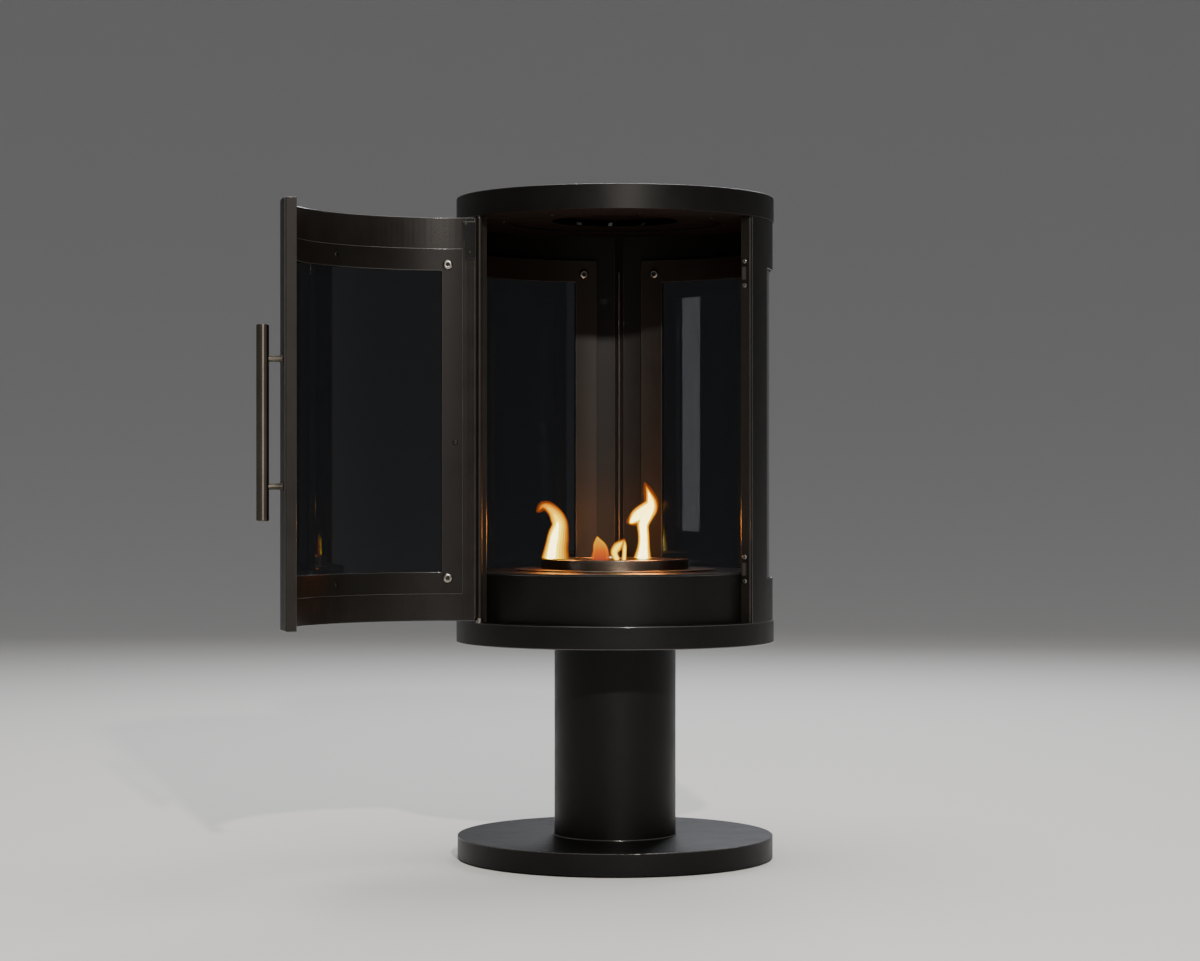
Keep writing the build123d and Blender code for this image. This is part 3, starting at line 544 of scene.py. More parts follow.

# %% [markdown]
# Now one function dresses one part. The bevel is a modifier, and it gives the broken edges a second finish, because
# paint is thin there; on painted parts that finish is also lighter in colour, a painted highlight. On round parts
# the modifiers are applied first, so that the exact normals go on last.


# %% Dress one part
def with_modifiers_applied(thing):
    """A plain mesh of what an object's modifiers make of it."""
    bpy.context.view_layer.update()
    return bpy.data.meshes.new_from_object(thing.evaluated_get(bpy.context.evaluated_depsgraph_get()))


def give_second_finish(mesh, material, chosen):
    """Put a second material on the faces that chosen picks."""
    mesh.materials.append(material)
    for face in mesh.polygons:
        if chosen(face):
            face.material_index = 1


def finish_part(node, material, edge_mm=0.0):
    """A dressed piece in place of a part: smooth where it curves, bevelled where it is cut."""
    piece = put(f"dressed_{node}", merged_copy(node))
    mesh = piece.data
    mesh.materials.append(material)
    mesh.polygons.foreach_set("use_smooth", [True] * len(mesh.polygons))
    mesh.set_sharp_from_angle(angle=SHARP_ABOVE)
    # On the top band and base cover only the fillet faces that lean upwards get the edge coat: a painted highlight
    # where light from above falls.
    if node in ROUNDED_ABOVE:
        give_second_finish(mesh, edge_coat_painted_highlight, lambda face: EDGE_LEAN[0] < face.normal.z < EDGE_LEAN[1])
    # The rear strip's inward faces get the dark sooted paint: painted shade beside the bead.
    if node == "rear_strip":
        give_second_finish(mesh, soot_and_shade_paint,
                           lambda face: face.normal.dot(Vector((face.center.x, face.center.y, 0))) < 0)
    if edge_mm:
        bevel = piece.modifiers.new("broken_edges", "BEVEL")
        bevel.width = edge_mm * MM
        bevel.segments = 2
        bevel.limit_method = "ANGLE"
        bevel.angle_limit = BEVEL_ABOVE
        bevel.use_clamp_overlap = node in ROUNDED_ABOVE
        # The bevels of painted parts take the edge coat, whose lighter colour is a painted highlight.
        if material in EDGE_FINISH and node not in (*ROUNDED_ABOVE, "rear_strip"):
            mesh.materials.append(EDGE_FINISH[material])
            bevel.material = 1
        if node not in ROUND_ABOUT:
            even = piece.modifiers.new("even_shading", "WEIGHTED_NORMAL")
            even.keep_sharp = True
    if node in ROUND_ABOUT:
        mesh = with_modifiers_applied(piece)
        piece.modifiers.clear()
        piece.data = mesh
        round_off(mesh, ROUND_ABOUT[node])
    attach(piece, frame["nodes"][node]["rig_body"])
    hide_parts(node)
    return piece


print("finishes that change on a broken edge:", [material.name for material in EDGE_FINISH])

# %% [markdown]
# Each part's finish follows from its slot in the record, apart from a few that the fire or the press changed, and
# the rear bead, whose edge coat is a painted highlight. The broken edges are given in millimetres: a sheet's ground
# edge is wide, and a thin plate's is narrow. Screws, rivets and the wool pad are left out here, because they are made
# anew below.

# %% Dress every part
slots = {row["node"]: row["material_slot"] for row in frame["record"]["subparts"]}
FINISHES = {
    "black_powder_coat": powder_coat, "inner_dark_paint": inner_paint, "clear_glass": fire_glass,
    "stainless_fasteners": screw_steel, "brushed_handle": handle_steel, "burner_stainless": burner_steel,
    "zinc_steel": zinc_steel, "gasket_tape": gasket_tape, "rubber_pads": pad_rubber,
    "ceramic_wool": ceramic_wool, "raw_steel": primed_steel, "ferrite": ferrite,
}
# The rear bead takes the edge coat: its lighter colour is a painted highlight.
OWN_FINISH = {
    "door_clamp": clamp_paint, "door_frame": rail_paint, "ceiling_baffle": soot_and_shade_paint, "rear_bead": edge_coat_painted_highlight,
    "ceiling_plate": soot_and_shade_paint, "ceiling_deflector": soot_and_shade_paint, "upper_hinge_leaf": hinge_leaf_coat,
    "catch_plates": clamp_paint, "catch_pole_plates": primed_steel,
}
EDGE_MM = {
    "base_cover": 0.8, "lower_pan": 1.2, "top_band": 0.6, "column_tube": 0.4, "shell_left": 0.7, "shell_right": 0.7,
    "drum_skirt": 0.3, "deck_plate": 0.8, "top_plate": 0.4, "ceiling_plate": 0.4, "ceiling_baffle": 0.4,
    "door_skin": 0.8, "door_frame": 0.8, "door_clamp": 0.9, "closing_bar": 0.9, "handle_bar": 0.4,
    "window_clamp_left": 0.8, "window_clamp_right": 0.8, "jamb_latch_side": 0.8, "jamb_hinge_side": 0.8,
    "burner_collar": 0.6, "burner_flange": 0.4, "burner_top": 0.3, "upper_hinge_leaf": 0.4, "rear_strip": 0.2,
    "base_pads": 1.0, "window_glass_left": 0.4, "window_glass_right": 0.4, "door_glass": 0.4, "rear_bead": 0.3,
}
SCREWS_IN_PLATES = ("window_clamp_screws", "door_clamp_screws", "door_small_screws", "ceiling_screws")
MADE_ANEW = (*SCREWS_IN_PLATES, "rear_strip_rivets", "wool_pad")
dressed = [finish_part(node, OWN_FINISH.get(node, FINISHES[slots[node]]), EDGE_MM.get(node, 0.0))
           for node in sorted(frame["nodes"]) if node not in MADE_ANEW]
print("dressed pieces:", len(dressed), "with broken edges:", len(EDGE_MM))

# %% [markdown]
# ## Screws and rivets
#
# The screws are button heads with a hexagon socket, turned on a lathe, so the head is a profile swept round its axis.
# Only the inmost rings are hexagons. It is modelled once, one unit in radius. A rivet is the same sweep with a plain
# dome. The dark floor of the socket is a plate of its own, and its darkness is painted shade in the recess.

# %% One screw head, one rivet head
ROUND = 24
HALF_SIDE = math.pi / 6
HEAD_H = 0.48
HEAD_SHARP = math.radians(40)
SOCKET = 0.44


def skin_over(work, loops):
    """Closed skin over rings of vertices, from the foot up."""
    for low, high in zip(loops, loops[1:]):
        for k in range(len(low)):
            n = (k + 1) % len(low)
            work.faces.new((low[k], low[n], high[n], high[k]))
    work.faces.new(reversed(loops[0]))
    work.faces.new(loops[-1])
    bmesh.ops.recalc_face_normals(work, faces=work.faces)


def swept_head(name, rings):
    """Closed head from rings of (shape, radius, height), from the middle of the top down to the shank."""
    work = bmesh.new()
    loops = []
    for shape, radius, height in rings:
        loop = []
        for k in range(ROUND):
            turn = 2 * math.pi * k / ROUND
            off_corner = turn % (2 * HALF_SIDE) - HALF_SIDE
            reach = radius * math.cos(HALF_SIDE) / math.cos(off_corner) if shape == "hexagon" else radius
            loop.append(work.verts.new((reach * math.cos(turn), reach * math.sin(turn), height)))
        loops.append(loop)
    skin_over(work, loops[::-1])
    mesh = bpy.data.meshes.new(name)
    work.to_mesh(mesh)
    work.free()
    mesh.shade_smooth()
    mesh.set_sharp_from_angle(angle=HEAD_SHARP)
    return bpy.data.objects.new(name, mesh)


SHANK = [("circle", 0.36, 0.0), ("circle", 0.36, -0.5)]
DOME = [(0.60, HEAD_H), (0.76, 0.45), (0.88, 0.37), (0.96, 0.24), (1.0, 0.10), (1.0, 0.0)]
button_head = swept_head("button_head", [("hexagon", SOCKET, 0.12), ("hexagon", SOCKET, 0.46),
                                         *[("circle", *ring) for ring in DOME], *SHANK])
# A dark plate at the floor of each socket, there only as painted shade in the recess.
socket_floor = swept_head("socket_floor", [("hexagon", SOCKET * 0.98, 0.15), ("hexagon", SOCKET * 0.98, 0.11)])
RIVET = [(0.12, HEAD_H), (0.4, 0.44), (0.66, 0.35), (0.87, 0.2), (1.0, 0.05), (1.0, 0.0)]
rivet_head = swept_head("rivet_head", [*[("circle", *ring) for ring in RIVET], *SHANK])
# The socket plate's near-black finish is painted shade.
socket_painted_shade = matt_solid("oily_dust_in_screw_sockets", "#0b0a09", "#171410", 0.6, 0.7, 0.3)
print("head faces:", len(button_head.data.polygons), "rivet faces:", len(rivet_head.data.polygons))

# %% [markdown]
# Where each screw goes is read from the frame: each loose lump of a screw part is one screw. Its axis points at the
# bend axis of the sheet that it sits in, and its widest points give the seat, the top and the radius of the head.

# %% Seats of the screws
RIM_SHARE = 0.93


def lumps(node):
    """Point lists of the loose lumps of a part."""
    work = bmesh.new()
    work.from_mesh(frame["nodes"][node].data)
    bmesh.ops.remove_doubles(work, verts=work.verts, dist=SAME_SPOT)
    reached, found = set(), []
    for start in work.verts:
        if start in reached:
            continue
        reached.add(start)
        front, lump = [start], []
        while front:
            vert = front.pop()
            lump.append(vert.co.copy())
            for edge in vert.link_edges:
                other = edge.other_vert(vert)
                if other not in reached:
                    reached.add(other)
                    front.append(other)
        found.append(lump)
    work.free()
    return found


def head_seat(points, out):
    """Seat, radius and height of a round head whose axis runs along out."""
    middle = sum(points, Vector()) / len(points)
    along = [(p - middle).dot(out) for p in points]
    aside = [(p - middle - level * out).length for p, level in zip(points, along)]
    reach = max(aside)
    seat = min(level for level, off in zip(along, aside) if off > RIM_SHARE * reach)
    return middle + seat * out, reach, max(along) - seat


def seats_of(node, way):
    """Rows of seat, radius, height and axis for every screw of a part."""
    rows = []
    for points in lumps(node):
        out = way(sum(points, Vector()) / len(points))
        rows.append((*head_seat(points, out), out))
    return rows


print("window clamp screws found:", len(lumps("window_clamp_screws")))

# %% [markdown]
# The screws of a curved sheet point at the axis that it bends about, and the rivets away from it. The ceiling's
# screws point straight down.


# %% Every screw and rivet
def towards(axis):
    """Direction from a point to an upright axis."""
    return lambda at: -away_from_axis(at, axis)


seats = {
    "window_clamp_screws": seats_of("window_clamp_screws", towards(STOVE_AXIS)),
    "door_clamp_screws": seats_of("door_clamp_screws", towards(DOOR_AXIS)),
    "door_small_screws": seats_of("door_small_screws", towards(DOOR_AXIS)),
    "ceiling_screws": seats_of("ceiling_screws", lambda at: Vector((0, 0, -1))),
    "rear_strip_rivets": seats_of("rear_strip_rivets", lambda at: away_from_axis(at, STOVE_AXIS)),
}
for node, rows in seats.items():
    print(node, len(rows), "radius mm:", sorted({round(row[1] / MM, 2) for row in rows}),
          "height mm:", sorted({round(row[2] / MM, 2) for row in rows}))

# %% [markdown]
# Geometry Nodes set one head on every seat. The seats are bare points that carry a turn and a size. The tree reads
# both, puts a copy of the head on each point, makes the copies real and gives them their finish.


# %% The tree that sets parts on points
def new_tree(name, **sockets):
    """A tree that takes geometry and the named inputs, and the node that gives them."""
    tree = bpy.data.node_groups.new(name, "GeometryNodeTree")
    for label, kind in {"Geometry": "Geometry", **sockets}.items():
        tree.interface.new_socket(label, in_out="INPUT", socket_type=f"NodeSocket{kind}")
    tree.interface.new_socket("Geometry", in_out="OUTPUT", socket_type="NodeSocketGeometry")
    return tree, add(tree, "NodeGroupInput")


def finish_tree(tree, shape, inputs):
    """Make a tree's copies real, give them their finish and put them out."""
    real = add(tree, "GeometryNodeRealizeInstances", Geometry=(shape, 0))
    coat = add(tree, "GeometryNodeSetMaterial", Geometry=(real, 0), Material=(inputs, "Finish"))
    add(tree, "NodeGroupOutput", _0=(coat, 0))
    return tree


def set_on_points_tree():
    """Tree: points in, the same part on every point out."""
    tree, inputs = new_tree("set_part_on_points", Part="Object", Finish="Material")
    part = add(tree, "GeometryNodeObjectInfo", Object=(inputs, "Part"))
    turn = add(tree, "GeometryNodeInputNamedAttribute", {"data_type": "FLOAT_VECTOR"}, Name="turn")
    size = add(tree, "GeometryNodeInputNamedAttribute", {"data_type": "FLOAT_VECTOR"}, Name="size")
    rotation = add(tree, "FunctionNodeEulerToRotation", Euler=(turn, 0))
    copies = add(tree, "GeometryNodeInstanceOnPoints", Points=(inputs, "Geometry"), Instance=(part, "Geometry"),
                 Rotation=(rotation, 0), Scale=(size, 0))
    return finish_tree(tree, copies, inputs)


on_points = set_on_points_tree()
print("tree:", on_points.name, "nodes:", len(on_points.nodes))

# %% [markdown]
# A tree is run on a source object, and its result is kept as a plain mesh. The modifier goes before the piece is
# finished. Its inputs are set by the socket's identifier, because the name is only a label.


# %% Run a tree and keep its mesh
def socket_id(tree, label):
    """Identifier of a tree's input."""
    return next(s.identifier for s in tree.interface.items_tree if s.in_out == "INPUT" and s.name == label)


def bake_tree(name, source, tree, body, slot, **inputs):
    """Run a tree on a source object, keep the result as a plain mesh and ride it on a body."""
    bpy.context.scene.collection.objects.link(source)
    nodes = source.modifiers.new("grow", "NODES")
    nodes.node_group = tree
    for label, value in inputs.items():
        nodes[socket_id(tree, label)] = value
    mesh = with_modifiers_applied(source)
    source.modifiers.remove(nodes)
    bpy.data.objects.remove(source)
    piece = put(name, mesh)
    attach(piece, body)
    return piece


def seat_points(name, rows):
    """Points at the seats, with their turn and size."""
    mesh = bpy.data.meshes.new(name)
    mesh.from_pydata([row[0] for row in rows], [], [])
    turns = mesh.attributes.new("turn", "FLOAT_VECTOR", "POINT")
    sizes = mesh.attributes.new("size", "FLOAT_VECTOR", "POINT")
    for i, (seat, radius, height, out) in enumerate(rows):
        turns.data[i].vector = out.to_track_quat("Z", "Y").to_euler()
        sizes.data[i].vector = (radius, radius, height / HEAD_H)
    return bpy.data.objects.new(name, mesh)


print("inputs of the tree:", [item.name for item in on_points.interface.items_tree if item.in_out == "INPUT"])

# %% [markdown]
# The rivets are painted over with the strip that they hold. The screws in the ceiling and the small ones in the door
# are black zinc, and the others bright stainless steel, so they show as light dots on the dark paint.

# %% Set the heads
HEAD_FINISH = {"rear_strip_rivets": powder_coat, "ceiling_screws": dark_zinc, "door_small_screws": dark_zinc}
for node, rows in seats.items():
    head = rivet_head if node == "rear_strip_rivets" else button_head
    body = frame["nodes"][node]["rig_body"]
    piece = bake_tree(f"heads_{node}", seat_points(f"seats_{node}", rows), on_points, body, slots[node],
                      Part=head, Finish=HEAD_FINISH.get(node, screw_steel))
    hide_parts(node)
    print(piece.name, "faces:", len(piece.data.polygons))
    if head is button_head:
        # Each button head gets its dark socket plate: painted shade.
        bake_tree(f"sockets_{node}", seat_points(f"floors_{node}", rows), on_points, body, slots[node],
                  Part=socket_floor, Finish=socket_painted_shade)

# %% [markdown]
# ## The wool pad
#
# In the fuel cup lies a pad of ceramic wool that soaks up the fuel, so it can't slosh. It is felt: a plump, closed
# round cushion with a lumpy top and loose fibres standing off it. The cushion is a grid of rings; the fibres are
# strewn over it by Geometry Nodes, from one bent hair.

# %% A cushion of felt
pad_low, pad_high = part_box("wool_pad")
PAD_R = pad_high.x * 0.995
PAD_DEEP = pad_high.z - pad_low.z
PAD_SIDES = 96
TOP_RINGS = 16
PAD_SIDE = [(0.5, 0.0), (0.86, 0.0), (0.955, 0.05), (0.99, 0.18), (1.0, 0.4), (1.0, 0.62), (0.992, 0.8),
            (0.97, 0.91), (0.93, 0.97)]
PAD_PROFILE = PAD_SIDE + [(0.93 * (1 - k / TOP_RINGS), 0.985) for k in range(1, TOP_RINGS)]
LUMP_MM = 18.18
LUMP_SINK, LUMP_PULL = 0.06, 0.008

pad_points, pad_faces = [], []
for share, level in PAD_PROFILE:
    for k in range(PAD_SIDES):
        turn = 2 * math.pi * k / PAD_SIDES
        x, y = PAD_R * share * math.cos(turn), PAD_R * share * math.sin(turn)
        lump = 0.5 + 0.5 * noise.fractal(Vector((x, y, level * 0.05)) / (LUMP_MM * MM), 1.0, 2.0, 4)
        lump = max(0.0, min(1.0, lump))
        sink = LUMP_SINK * lump if level > 0.6 else 0.0
        pull = 1 - LUMP_PULL * lump if 0.0 < level < 0.95 else 1.0
        pad_points.append((x * pull, y * pull, pad_low.z + PAD_DEEP * (level - sink)))
rings = len(PAD_PROFILE)
for i in range(rings - 1):
    for k in range(PAD_SIDES):
        n = (k + 1) % PAD_SIDES
        pad_faces.append((i * PAD_SIDES + k, i * PAD_SIDES + n, (i + 1) * PAD_SIDES + n, (i + 1) * PAD_SIDES + k))
pad_faces.append(tuple(reversed(range(PAD_SIDES))))
pad_faces.append(tuple(range((rings - 1) * PAD_SIDES, rings * PAD_SIDES)))
pad_mesh = bpy.data.meshes.new("felt_pad")
pad_mesh.from_pydata(pad_points, [], pad_faces)
pad_mesh.shade_smooth()
pad_mesh.materials.append(ceramic_wool)
felt_pad = put("felt_pad", pad_mesh)
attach(felt_pad, frame["nodes"]["wool_pad"]["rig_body"])
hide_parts("wool_pad")
print("felt pad faces:", len(pad_mesh.polygons))

# %% [markdown]
# Ceramic wool is never tidy: loose fibres lie on it at every angle. One bent hair is strewn over the top by Geometry
# Nodes, at a density per square metre and with a fixed seed. It is drawn thicker than life, so that it shows.


# %% Loose fibres on the felt
def bent_hair():
    """One fibre: a thin three-sided tube that bows."""
    length, thick, bow, steps, third = 7 * MM, 0.09 * MM, 1.2 * MM, 5, 2.1
    verts = [(length * (i / steps - 0.5), thick * math.cos(third * k),
              thick * math.sin(third * k) + bow * math.sin(math.pi * i / steps))
             for i in range(steps + 1) for k in range(3)]
    faces = [(i * 3 + k, i * 3 + (k + 1) % 3, i * 3 + 3 + (k + 1) % 3, i * 3 + 3 + k)
             for i in range(steps) for k in range(3)]
    mesh = bpy.data.meshes.new("bent_hair")
    mesh.from_pydata(verts, [], [*faces, (2, 1, 0), (steps * 3, steps * 3 + 1, steps * 3 + 2)])
    return bpy.data.objects.new("bent_hair", mesh)


def strew_tree(seed):
    """Tree: a surface in, fibres lying on it at random out."""
    tree, inputs = new_tree("strew_fibres", Hair="Object", Density="Float", Finish="Material")
    hair = add(tree, "GeometryNodeObjectInfo", Object=(inputs, "Hair"))
    points = add(tree, "GeometryNodeDistributePointsOnFaces", Mesh=(inputs, "Geometry"), Density=(inputs, "Density"),
                 Seed=seed)
    spin = add(tree, "FunctionNodeRandomValue", {"data_type": "FLOAT_VECTOR"}, _0=(-FIBRE_TILT, -FIBRE_TILT, 0),
               _1=(FIBRE_TILT, FIBRE_TILT, WHOLE_TURN), Seed=seed)
    copies = add(tree, "GeometryNodeInstanceOnPoints", Points=(points, "Points"), Instance=(hair, "Geometry"),
                 Rotation=(spin, 0))
    return finish_tree(tree, copies, inputs)


FIBRES_PER_M2 = 60000.0
FIBRE_TILT = 0.25
WHOLE_TURN = 6.3
FIBRE_SEED = 7
PATCH_SIDES = 48
top_z = pad_low.z + PAD_DEEP * 0.955
strewn_r = PAD_R * 0.88
turns = [2 * math.pi * k / PATCH_SIDES for k in range(PATCH_SIDES)]
patch = bpy.data.meshes.new("strewing_patch")
patch.from_pydata([(strewn_r * math.cos(turn), strewn_r * math.sin(turn), top_z) for turn in turns], [],
                  [tuple(range(PATCH_SIDES))])
fibres = bake_tree("loose_fibres", bpy.data.objects.new("strewing_patch", patch), strew_tree(FIBRE_SEED),
                   frame["nodes"]["wool_pad"]["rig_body"], slots["wool_pad"], Hair=bent_hair(),
                   Density=FIBRES_PER_M2, Finish=ceramic_wool)
print("loose fibres faces:", len(fibres.data.polygons))

# %% [markdown]
# ## A light for the panes alone
#
# In the photograph a tall box shines in the right-hand pane, yet leaves no second highlight on the paint, as if a
# black flag hung between them. Light linking does what a flag does, and lets the box at the lower left shine on glass
# only.

# %% Link the strip to the panes
panes = bpy.data.collections.new("panes")
bpy.context.scene.collection.children.link(panes)
for piece in dressed:
    if slots[piece.name.removeprefix("dressed_")] == "clear_glass":
        panes.objects.link(piece)
bpy.data.objects["low_left_strip"].light_linking.receiver_collection = panes

# %% [markdown]
# ## Weld beads under the paint
#
# Where the column meets the base and the drum, the tube is welded all round and ground smooth before it is painted.
# What shows is a thin round bead that catches the light as one fine line, made brighter by the edge coat's painted
# highlight. It follows a circle, so Geometry Nodes sweep a small round along a circle.

# %% A bead that follows a circle
def bead_tree():
    """Tree: a ring-shaped bead from a ring radius, a bead radius and a height."""
    tree, inputs = new_tree("sweep_weld_bead", Ring="Float", Bead="Float", Height="Float", Finish="Material")
    ring = add(tree, "GeometryNodeCurvePrimitiveCircle", Resolution=128, Radius=(inputs, "Ring"))
    section = add(tree, "GeometryNodeCurvePrimitiveCircle", Resolution=12, Radius=(inputs, "Bead"))
    sweep = add(tree, "GeometryNodeCurveToMesh", Curve=(ring, 0), Profile_Curve=(section, 0))
    lift = add(tree, "ShaderNodeCombineXYZ", Z=(inputs, "Height"))
    place = add(tree, "GeometryNodeTransform", Geometry=(sweep, 0), Translation=(lift, 0))
    return finish_tree(tree, place, inputs)


BEAD_R = 1.4 * MM
weld = bead_tree()
column_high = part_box("column_tube")[1]
# The beads take the edge coat, whose lighter colour is a painted highlight.
for name, height in (("weld_bead_foot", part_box("base_cover")[1].z), ("weld_bead_head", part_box("lower_pan")[0].z)):
    empty = bpy.data.objects.new(name, bpy.data.meshes.new(name))
    bead = bake_tree(name, empty, weld, frame["nodes"]["column_tube"]["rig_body"], slots["column_tube"],
                     Ring=column_high.x, Bead=BEAD_R, Height=height, Finish=edge_coat_painted_highlight)
    bead.data.shade_smooth()
    print(bead.name, "faces:", len(bead.data.polygons))

# %% [markdown]
# ## Fire
#
# An ethanol flame is glowing gas: brightest and palest where it is thickest, orange where it thins out. One closed
# skin can't show that, so a large tongue is seven skins, one inside the other, and a small one is six or three. Their
# glow adds up towards the middle, from any side. The view's tone curve washes strong light out, so only the core is
# strong.


# %% Glow of the skins
MIDDLE_AT = 0.45


def glow(name, foot, middle, tip, strength, cover, z0, z1):
    """Light-giving skin that is partly clear, with its colour running from foot to tip."""
    material, tree, out = new_material(name)
    coords = add(tree, "ShaderNodeTexCoord")
    split = add(tree, "ShaderNodeSeparateXYZ", Vector=(coords, "Object"))
    height = add(tree, "ShaderNodeMapRange", Value=(split, "Z"), From_Min=z0, From_Max=z1)
    ramp = add(tree, "ShaderNodeValToRGB", Fac=(height, 0))
    ramp.color_ramp.elements[0].color = colour(foot)
    ramp.color_ramp.elements[1].color = colour(tip)
    ramp.color_ramp.elements.new(MIDDLE_AT).color = colour(middle)
    shader = add(tree, "ShaderNodeBsdfPrincipled", Base_Color=colour("#000000"), Roughness=1.0,
                 Specular_IOR_Level=0.0, Emission_Color=(ramp, 0), Emission_Strength=strength, Alpha=cover)
    tree.links.new(shader.outputs[0], out.inputs[0])
    return material


FLAME_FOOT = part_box("shutter_disc")[1].z
FLAME_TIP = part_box("burner_collar")[1].z + 100 * MM
THIN_TIP = FLAME_TIP - 70 * MM
SKINS = (  # name, share of the radius, colours of foot, middle and tip, strength, cover
    ("deep_orange", 1.00, "#ff8018", "#ff7810", "#ff6c08", 1.0, 0.12),
    ("orange", 0.93, "#ff9818", "#ff9010", "#ff8008", 1.3, 0.17),
    ("amber", 0.85, "#ffb408", "#ffb000", "#ff9400", 1.7, 0.22),
    ("gold", 0.75, "#ffd400", "#ffd000", "#ffa800", 2.4, 0.28),
    ("yellow", 0.62, "#ffe800", "#ffe600", "#ffc000", 3.6, 0.36),
    ("pale_yellow", 0.47, "#fff428", "#fff020", "#ffd808", 7.0, 0.50),
    ("white_heart", 0.32, "#fffad0", "#fff8b8", "#ffe860", 26.0, 1.00),
)
skins = [(share, glow(f"flame_{name}", foot, middle, tip, strength, cover, FLAME_FOOT, FLAME_TIP))
         for name, share, foot, middle, tip, strength, cover in SKINS]
thin_skins = skins[:1] + [
    (0.90, glow("flame_thin_gold", "#b03418", "#f07414", "#ffcc18", 1.7, 0.40, FLAME_FOOT, THIN_TIP)),
    (0.64, glow("flame_thin_mauve", "#6a3850", "#c04c20", "#ffa810", 0.8, 0.80, FLAME_FOOT, THIN_TIP))]
print("flames stand from", round(FLAME_FOOT, 4), "to", round(FLAME_TIP, 4))

# %% [markdown]
# A tongue follows a bent spine with a radius at each point, read from the photograph. The spine is smoothed with a
# Catmull-Rom curve, which passes through its points. Rings of vertices are set square to it, a little flattened and
# fluted, and both ends are capped, because an open tube would show its inside. Spines are measured in millimetres.

# %% Tongues of flame
RING = 24
STEPS_PER_SPAN = 6
FOOT = FLAME_FOOT / MM + 1.0
FLATTENED = 0.72
TAPER_SHARE, TAPER_CURVE = 0.45, 0.6
THINNEST = 0.3
FLUTES = ((0.07, 3, 0.21), (0.04, 5, -0.33))
VOXEL = 0.9 * MM


def spline(points, steps):
    """Catmull-Rom samples through points of any number of coordinates."""
    ends = [points[0], *points, points[-1]]
    samples = []
    for i in range(1, len(ends) - 2):
        a, b, c, d = (Vector(p) for p in ends[i - 1:i + 3])
        for step in range(steps):
            t = step / steps
            samples.append(0.5 * (2 * b + (c - a) * t + (2 * a - 5 * b + 4 * c - d) * t ** 2
                                  + (3 * b - a - 3 * c + d) * t ** 3))
    return samples + [Vector(points[-1])]


def tongue(work, spine, depth_y, share, lean, reach):
    """Add one closed skin round a spine of (x, z, radius), standing at depth_y."""
    samples = spline([Vector(point) for point in spine], STEPS_PER_SPAN)
    keep = samples[:max(4, round((len(samples) - 1) * (1 - reach * (1 - share)))) + 1]
    last = len(keep) - 1
    loops = []
    for i, sample in enumerate(keep):
        ahead, behind = keep[min(i + 1, last)], keep[max(i - 1, 0)]
        run = Vector((ahead[0] - behind[0], ahead[1] - behind[1])).normalized()
        taper = min(1.0, ((last - i) / (last * TAPER_SHARE)) ** TAPER_CURVE) if share < 1 else 1.0
        radius = max(sample[2] * share * taper, THINNEST)
        aside = sample[0] + lean * (1 - share) * sample[2]
        loop = []
        for k in range(RING):
            turn = 2 * math.pi * k / RING
            flute = 1 + sum(depth * math.sin(count * turn + twist * i) for depth, count, twist in FLUTES)
            out, deep = radius * flute * math.cos(turn), radius * flute * FLATTENED * math.sin(turn)
            spot = Vector((aside + run.y * out, depth_y + deep, sample[1] - run.x * out)) * MM
            spot.z = max(spot.z, FOOT * MM)
            loop.append(work.verts.new(spot))
        loops.append(loop)
    skin_over(work, loops)


print("samples of a spine of ten points:", len(spline([Vector((k, 0)) for k in range(10)], STEPS_PER_SPAN)))

# %% [markdown]
# A flame can be two tongues that grow into each other. A fine voxel remesh fuses them and a little smoothing takes
# the steps out, so no wall of one glows inside the other. The flames ride on the burner, as they would in life.


# %% One skin of a flame
def flame(name, parts, share, lean, reach, material):
    """One skin of a flame: its tongues fused by a fine voxel remesh, so no wall is left inside."""
    work = bmesh.new()
    for depth_y, spine in parts:
        tongue(work, spine, depth_y, share, lean, reach)
    raw = bpy.data.meshes.new(f"raw_{name}")
    work.to_mesh(raw)
    work.free()
    source = put(f"raw_{name}", raw)
    fuse = source.modifiers.new("fuse", "REMESH")
    fuse.mode, fuse.voxel_size, fuse.use_smooth_shade = "VOXEL", VOXEL, True
    ease = source.modifiers.new("ease", "SMOOTH")
    ease.iterations, ease.factor = 3, 0.5
    mesh = with_modifiers_applied(source)
    bpy.data.objects.remove(source)
    mesh.materials.clear()
    mesh.materials.append(material)
    piece = put(name, mesh)
    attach(piece, "burner")
    return piece


print("voxel of the remesh:", round(VOXEL / MM, 2), "mm")

# %% [markdown]
# Four flames stand on the burner: two large ones behind and two small ones in front. Each spine gives x, height and
# radius from foot to tip, at one depth.

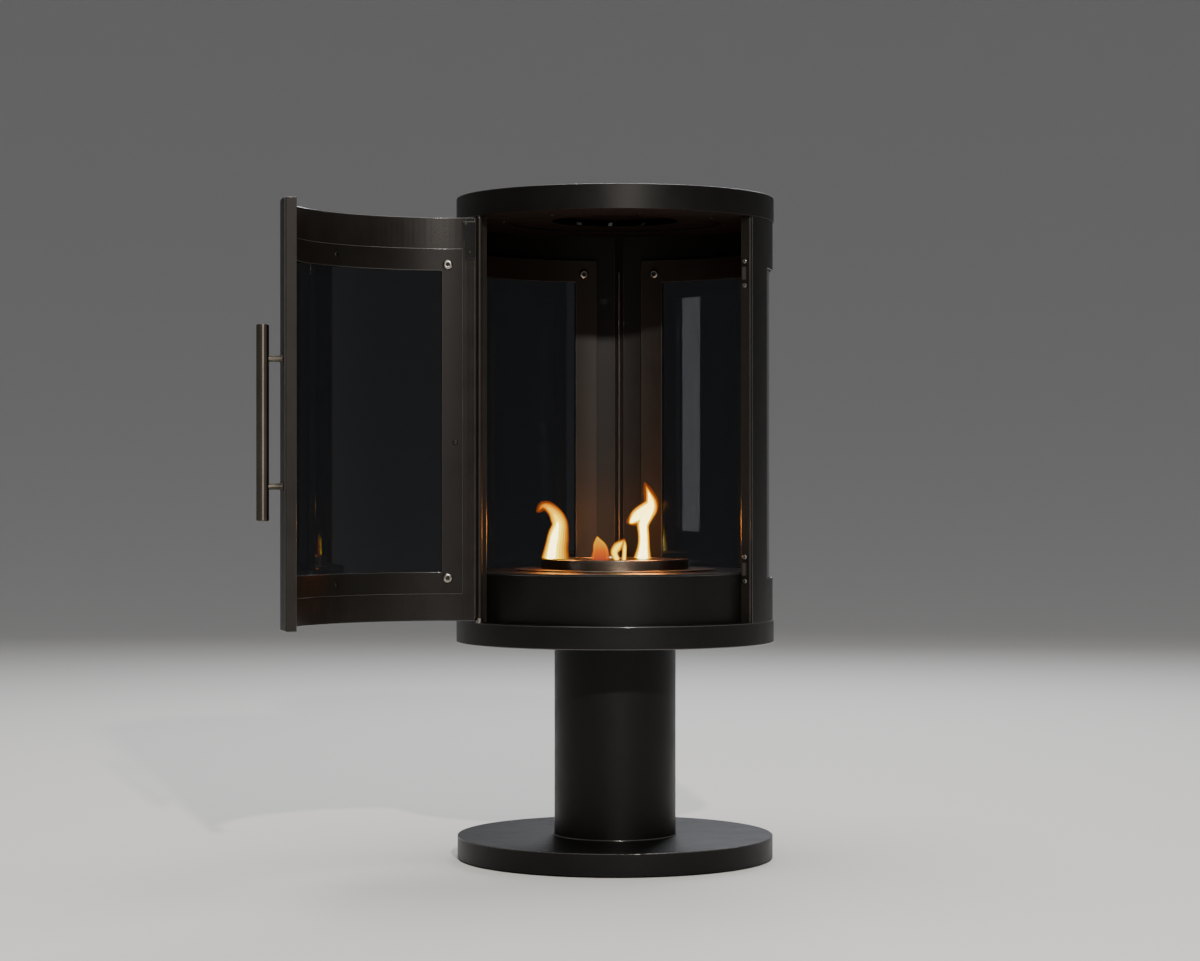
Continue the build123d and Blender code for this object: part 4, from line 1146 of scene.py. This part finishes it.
# %% The four flames
flames = {  # skins, how thin they get, lean, how far they fall short, and tongues of (depth, spine)
    "flame_left": (skins, 1.0, -0.45, 0.9, [
        (-8, [(-83, FOOT, 19), (-81.5, 431, 16.5), (-79, 447, 14.5), (-76, 462, 11.5), (-79.5, 472, 10.5),
              (-86, 480, 8.8), (-94, 486, 7.4), (-100.5, 486.5, 6.4), (-105.5, 481.5, 4.2), (-109, 478.5, 1.2)])]),
    "flame_right": (skins, 0.66, 0.0, 0.35, [
        (6, [(38, FOOT, 12.5), (39.5, 431, 9), (39.5, 447, 8), (39, 460, 8.8), (43.5, 472, 10.6), (48.5, 483, 11),
             (49.5, 493, 10), (47.5, 502, 8), (44.5, 511, 5.2), (41, 520, 1.2)]),
        (5, [(49, 486, 10), (41, 480, 11), (32.5, 474, 10.2), (26, 468.5, 9), (22, 464, 7.4), (20.5, 461, 5)])]),
    "flame_front_left": (thin_skins, 1.0, 0.0, 0.6, [
        (-66, [(-20.5, FOOT, 13), (-20, 425, 11.5), (-22.5, 436, 8), (-24, 444, 3), (-24.3, 447, 0.5)])]),
    "flame_front_right": (skins[:6], 1.0, 0.25, 0.5, [
        (-68, [(3, FOOT, 4.5), (-1.5, 424, 5.5), (3, 432, 6.6), (9, 438, 4.8), (13, 443.5, 0.6)]),
        (-69, [(12, FOOT, 3.4), (12.5, 425, 3.4), (13, 436, 3), (13, 443.5, 0.6)])]),
}
for name, (coats, thin, lean, reach, parts) in flames.items():
    made = [flame(f"{name}_{round(share * 100)}", parts, 1 - thin * (1 - share), lean, reach, material)
            for share, material in coats]
    print(name, "faces per skin:", [len(piece.data.polygons) for piece in made])

# %% [markdown]
# The skins glow, but what lights the deck and the posts is a small warm lamp in the heart of each large flame. The
# panes leave both lamps out, because a mirrored lamp would show as a ball and not as a flame.

# %% Firelight
all_but_panes = bpy.data.collections.new("all_but_panes")
for pane in panes.objects:
    all_but_panes.objects.link(pane)
for member in all_but_panes.collection_objects:
    member.light_linking.link_state = "EXCLUDE"
LAMPS = (("firelight_left", (-0.08, -0.01, 0.455), 0.8), ("firelight_right", (0.04, 0.0, 0.46), 1.1))
LAMP_R = 25 * MM
for name, place, watts in LAMPS:
    data = bpy.data.lights.new(name, "POINT")
    data.energy = watts
    data.color = colour("#ff9038")[:3]
    data.shadow_soft_size = LAMP_R
    lamp = put(name, data)
    lamp.location = place
    lamp.visible_camera = False
    lamp.visible_transmission = False
    lamp.light_linking.receiver_collection = all_but_panes
print("firelight:", [name for name, place, watts in LAMPS])
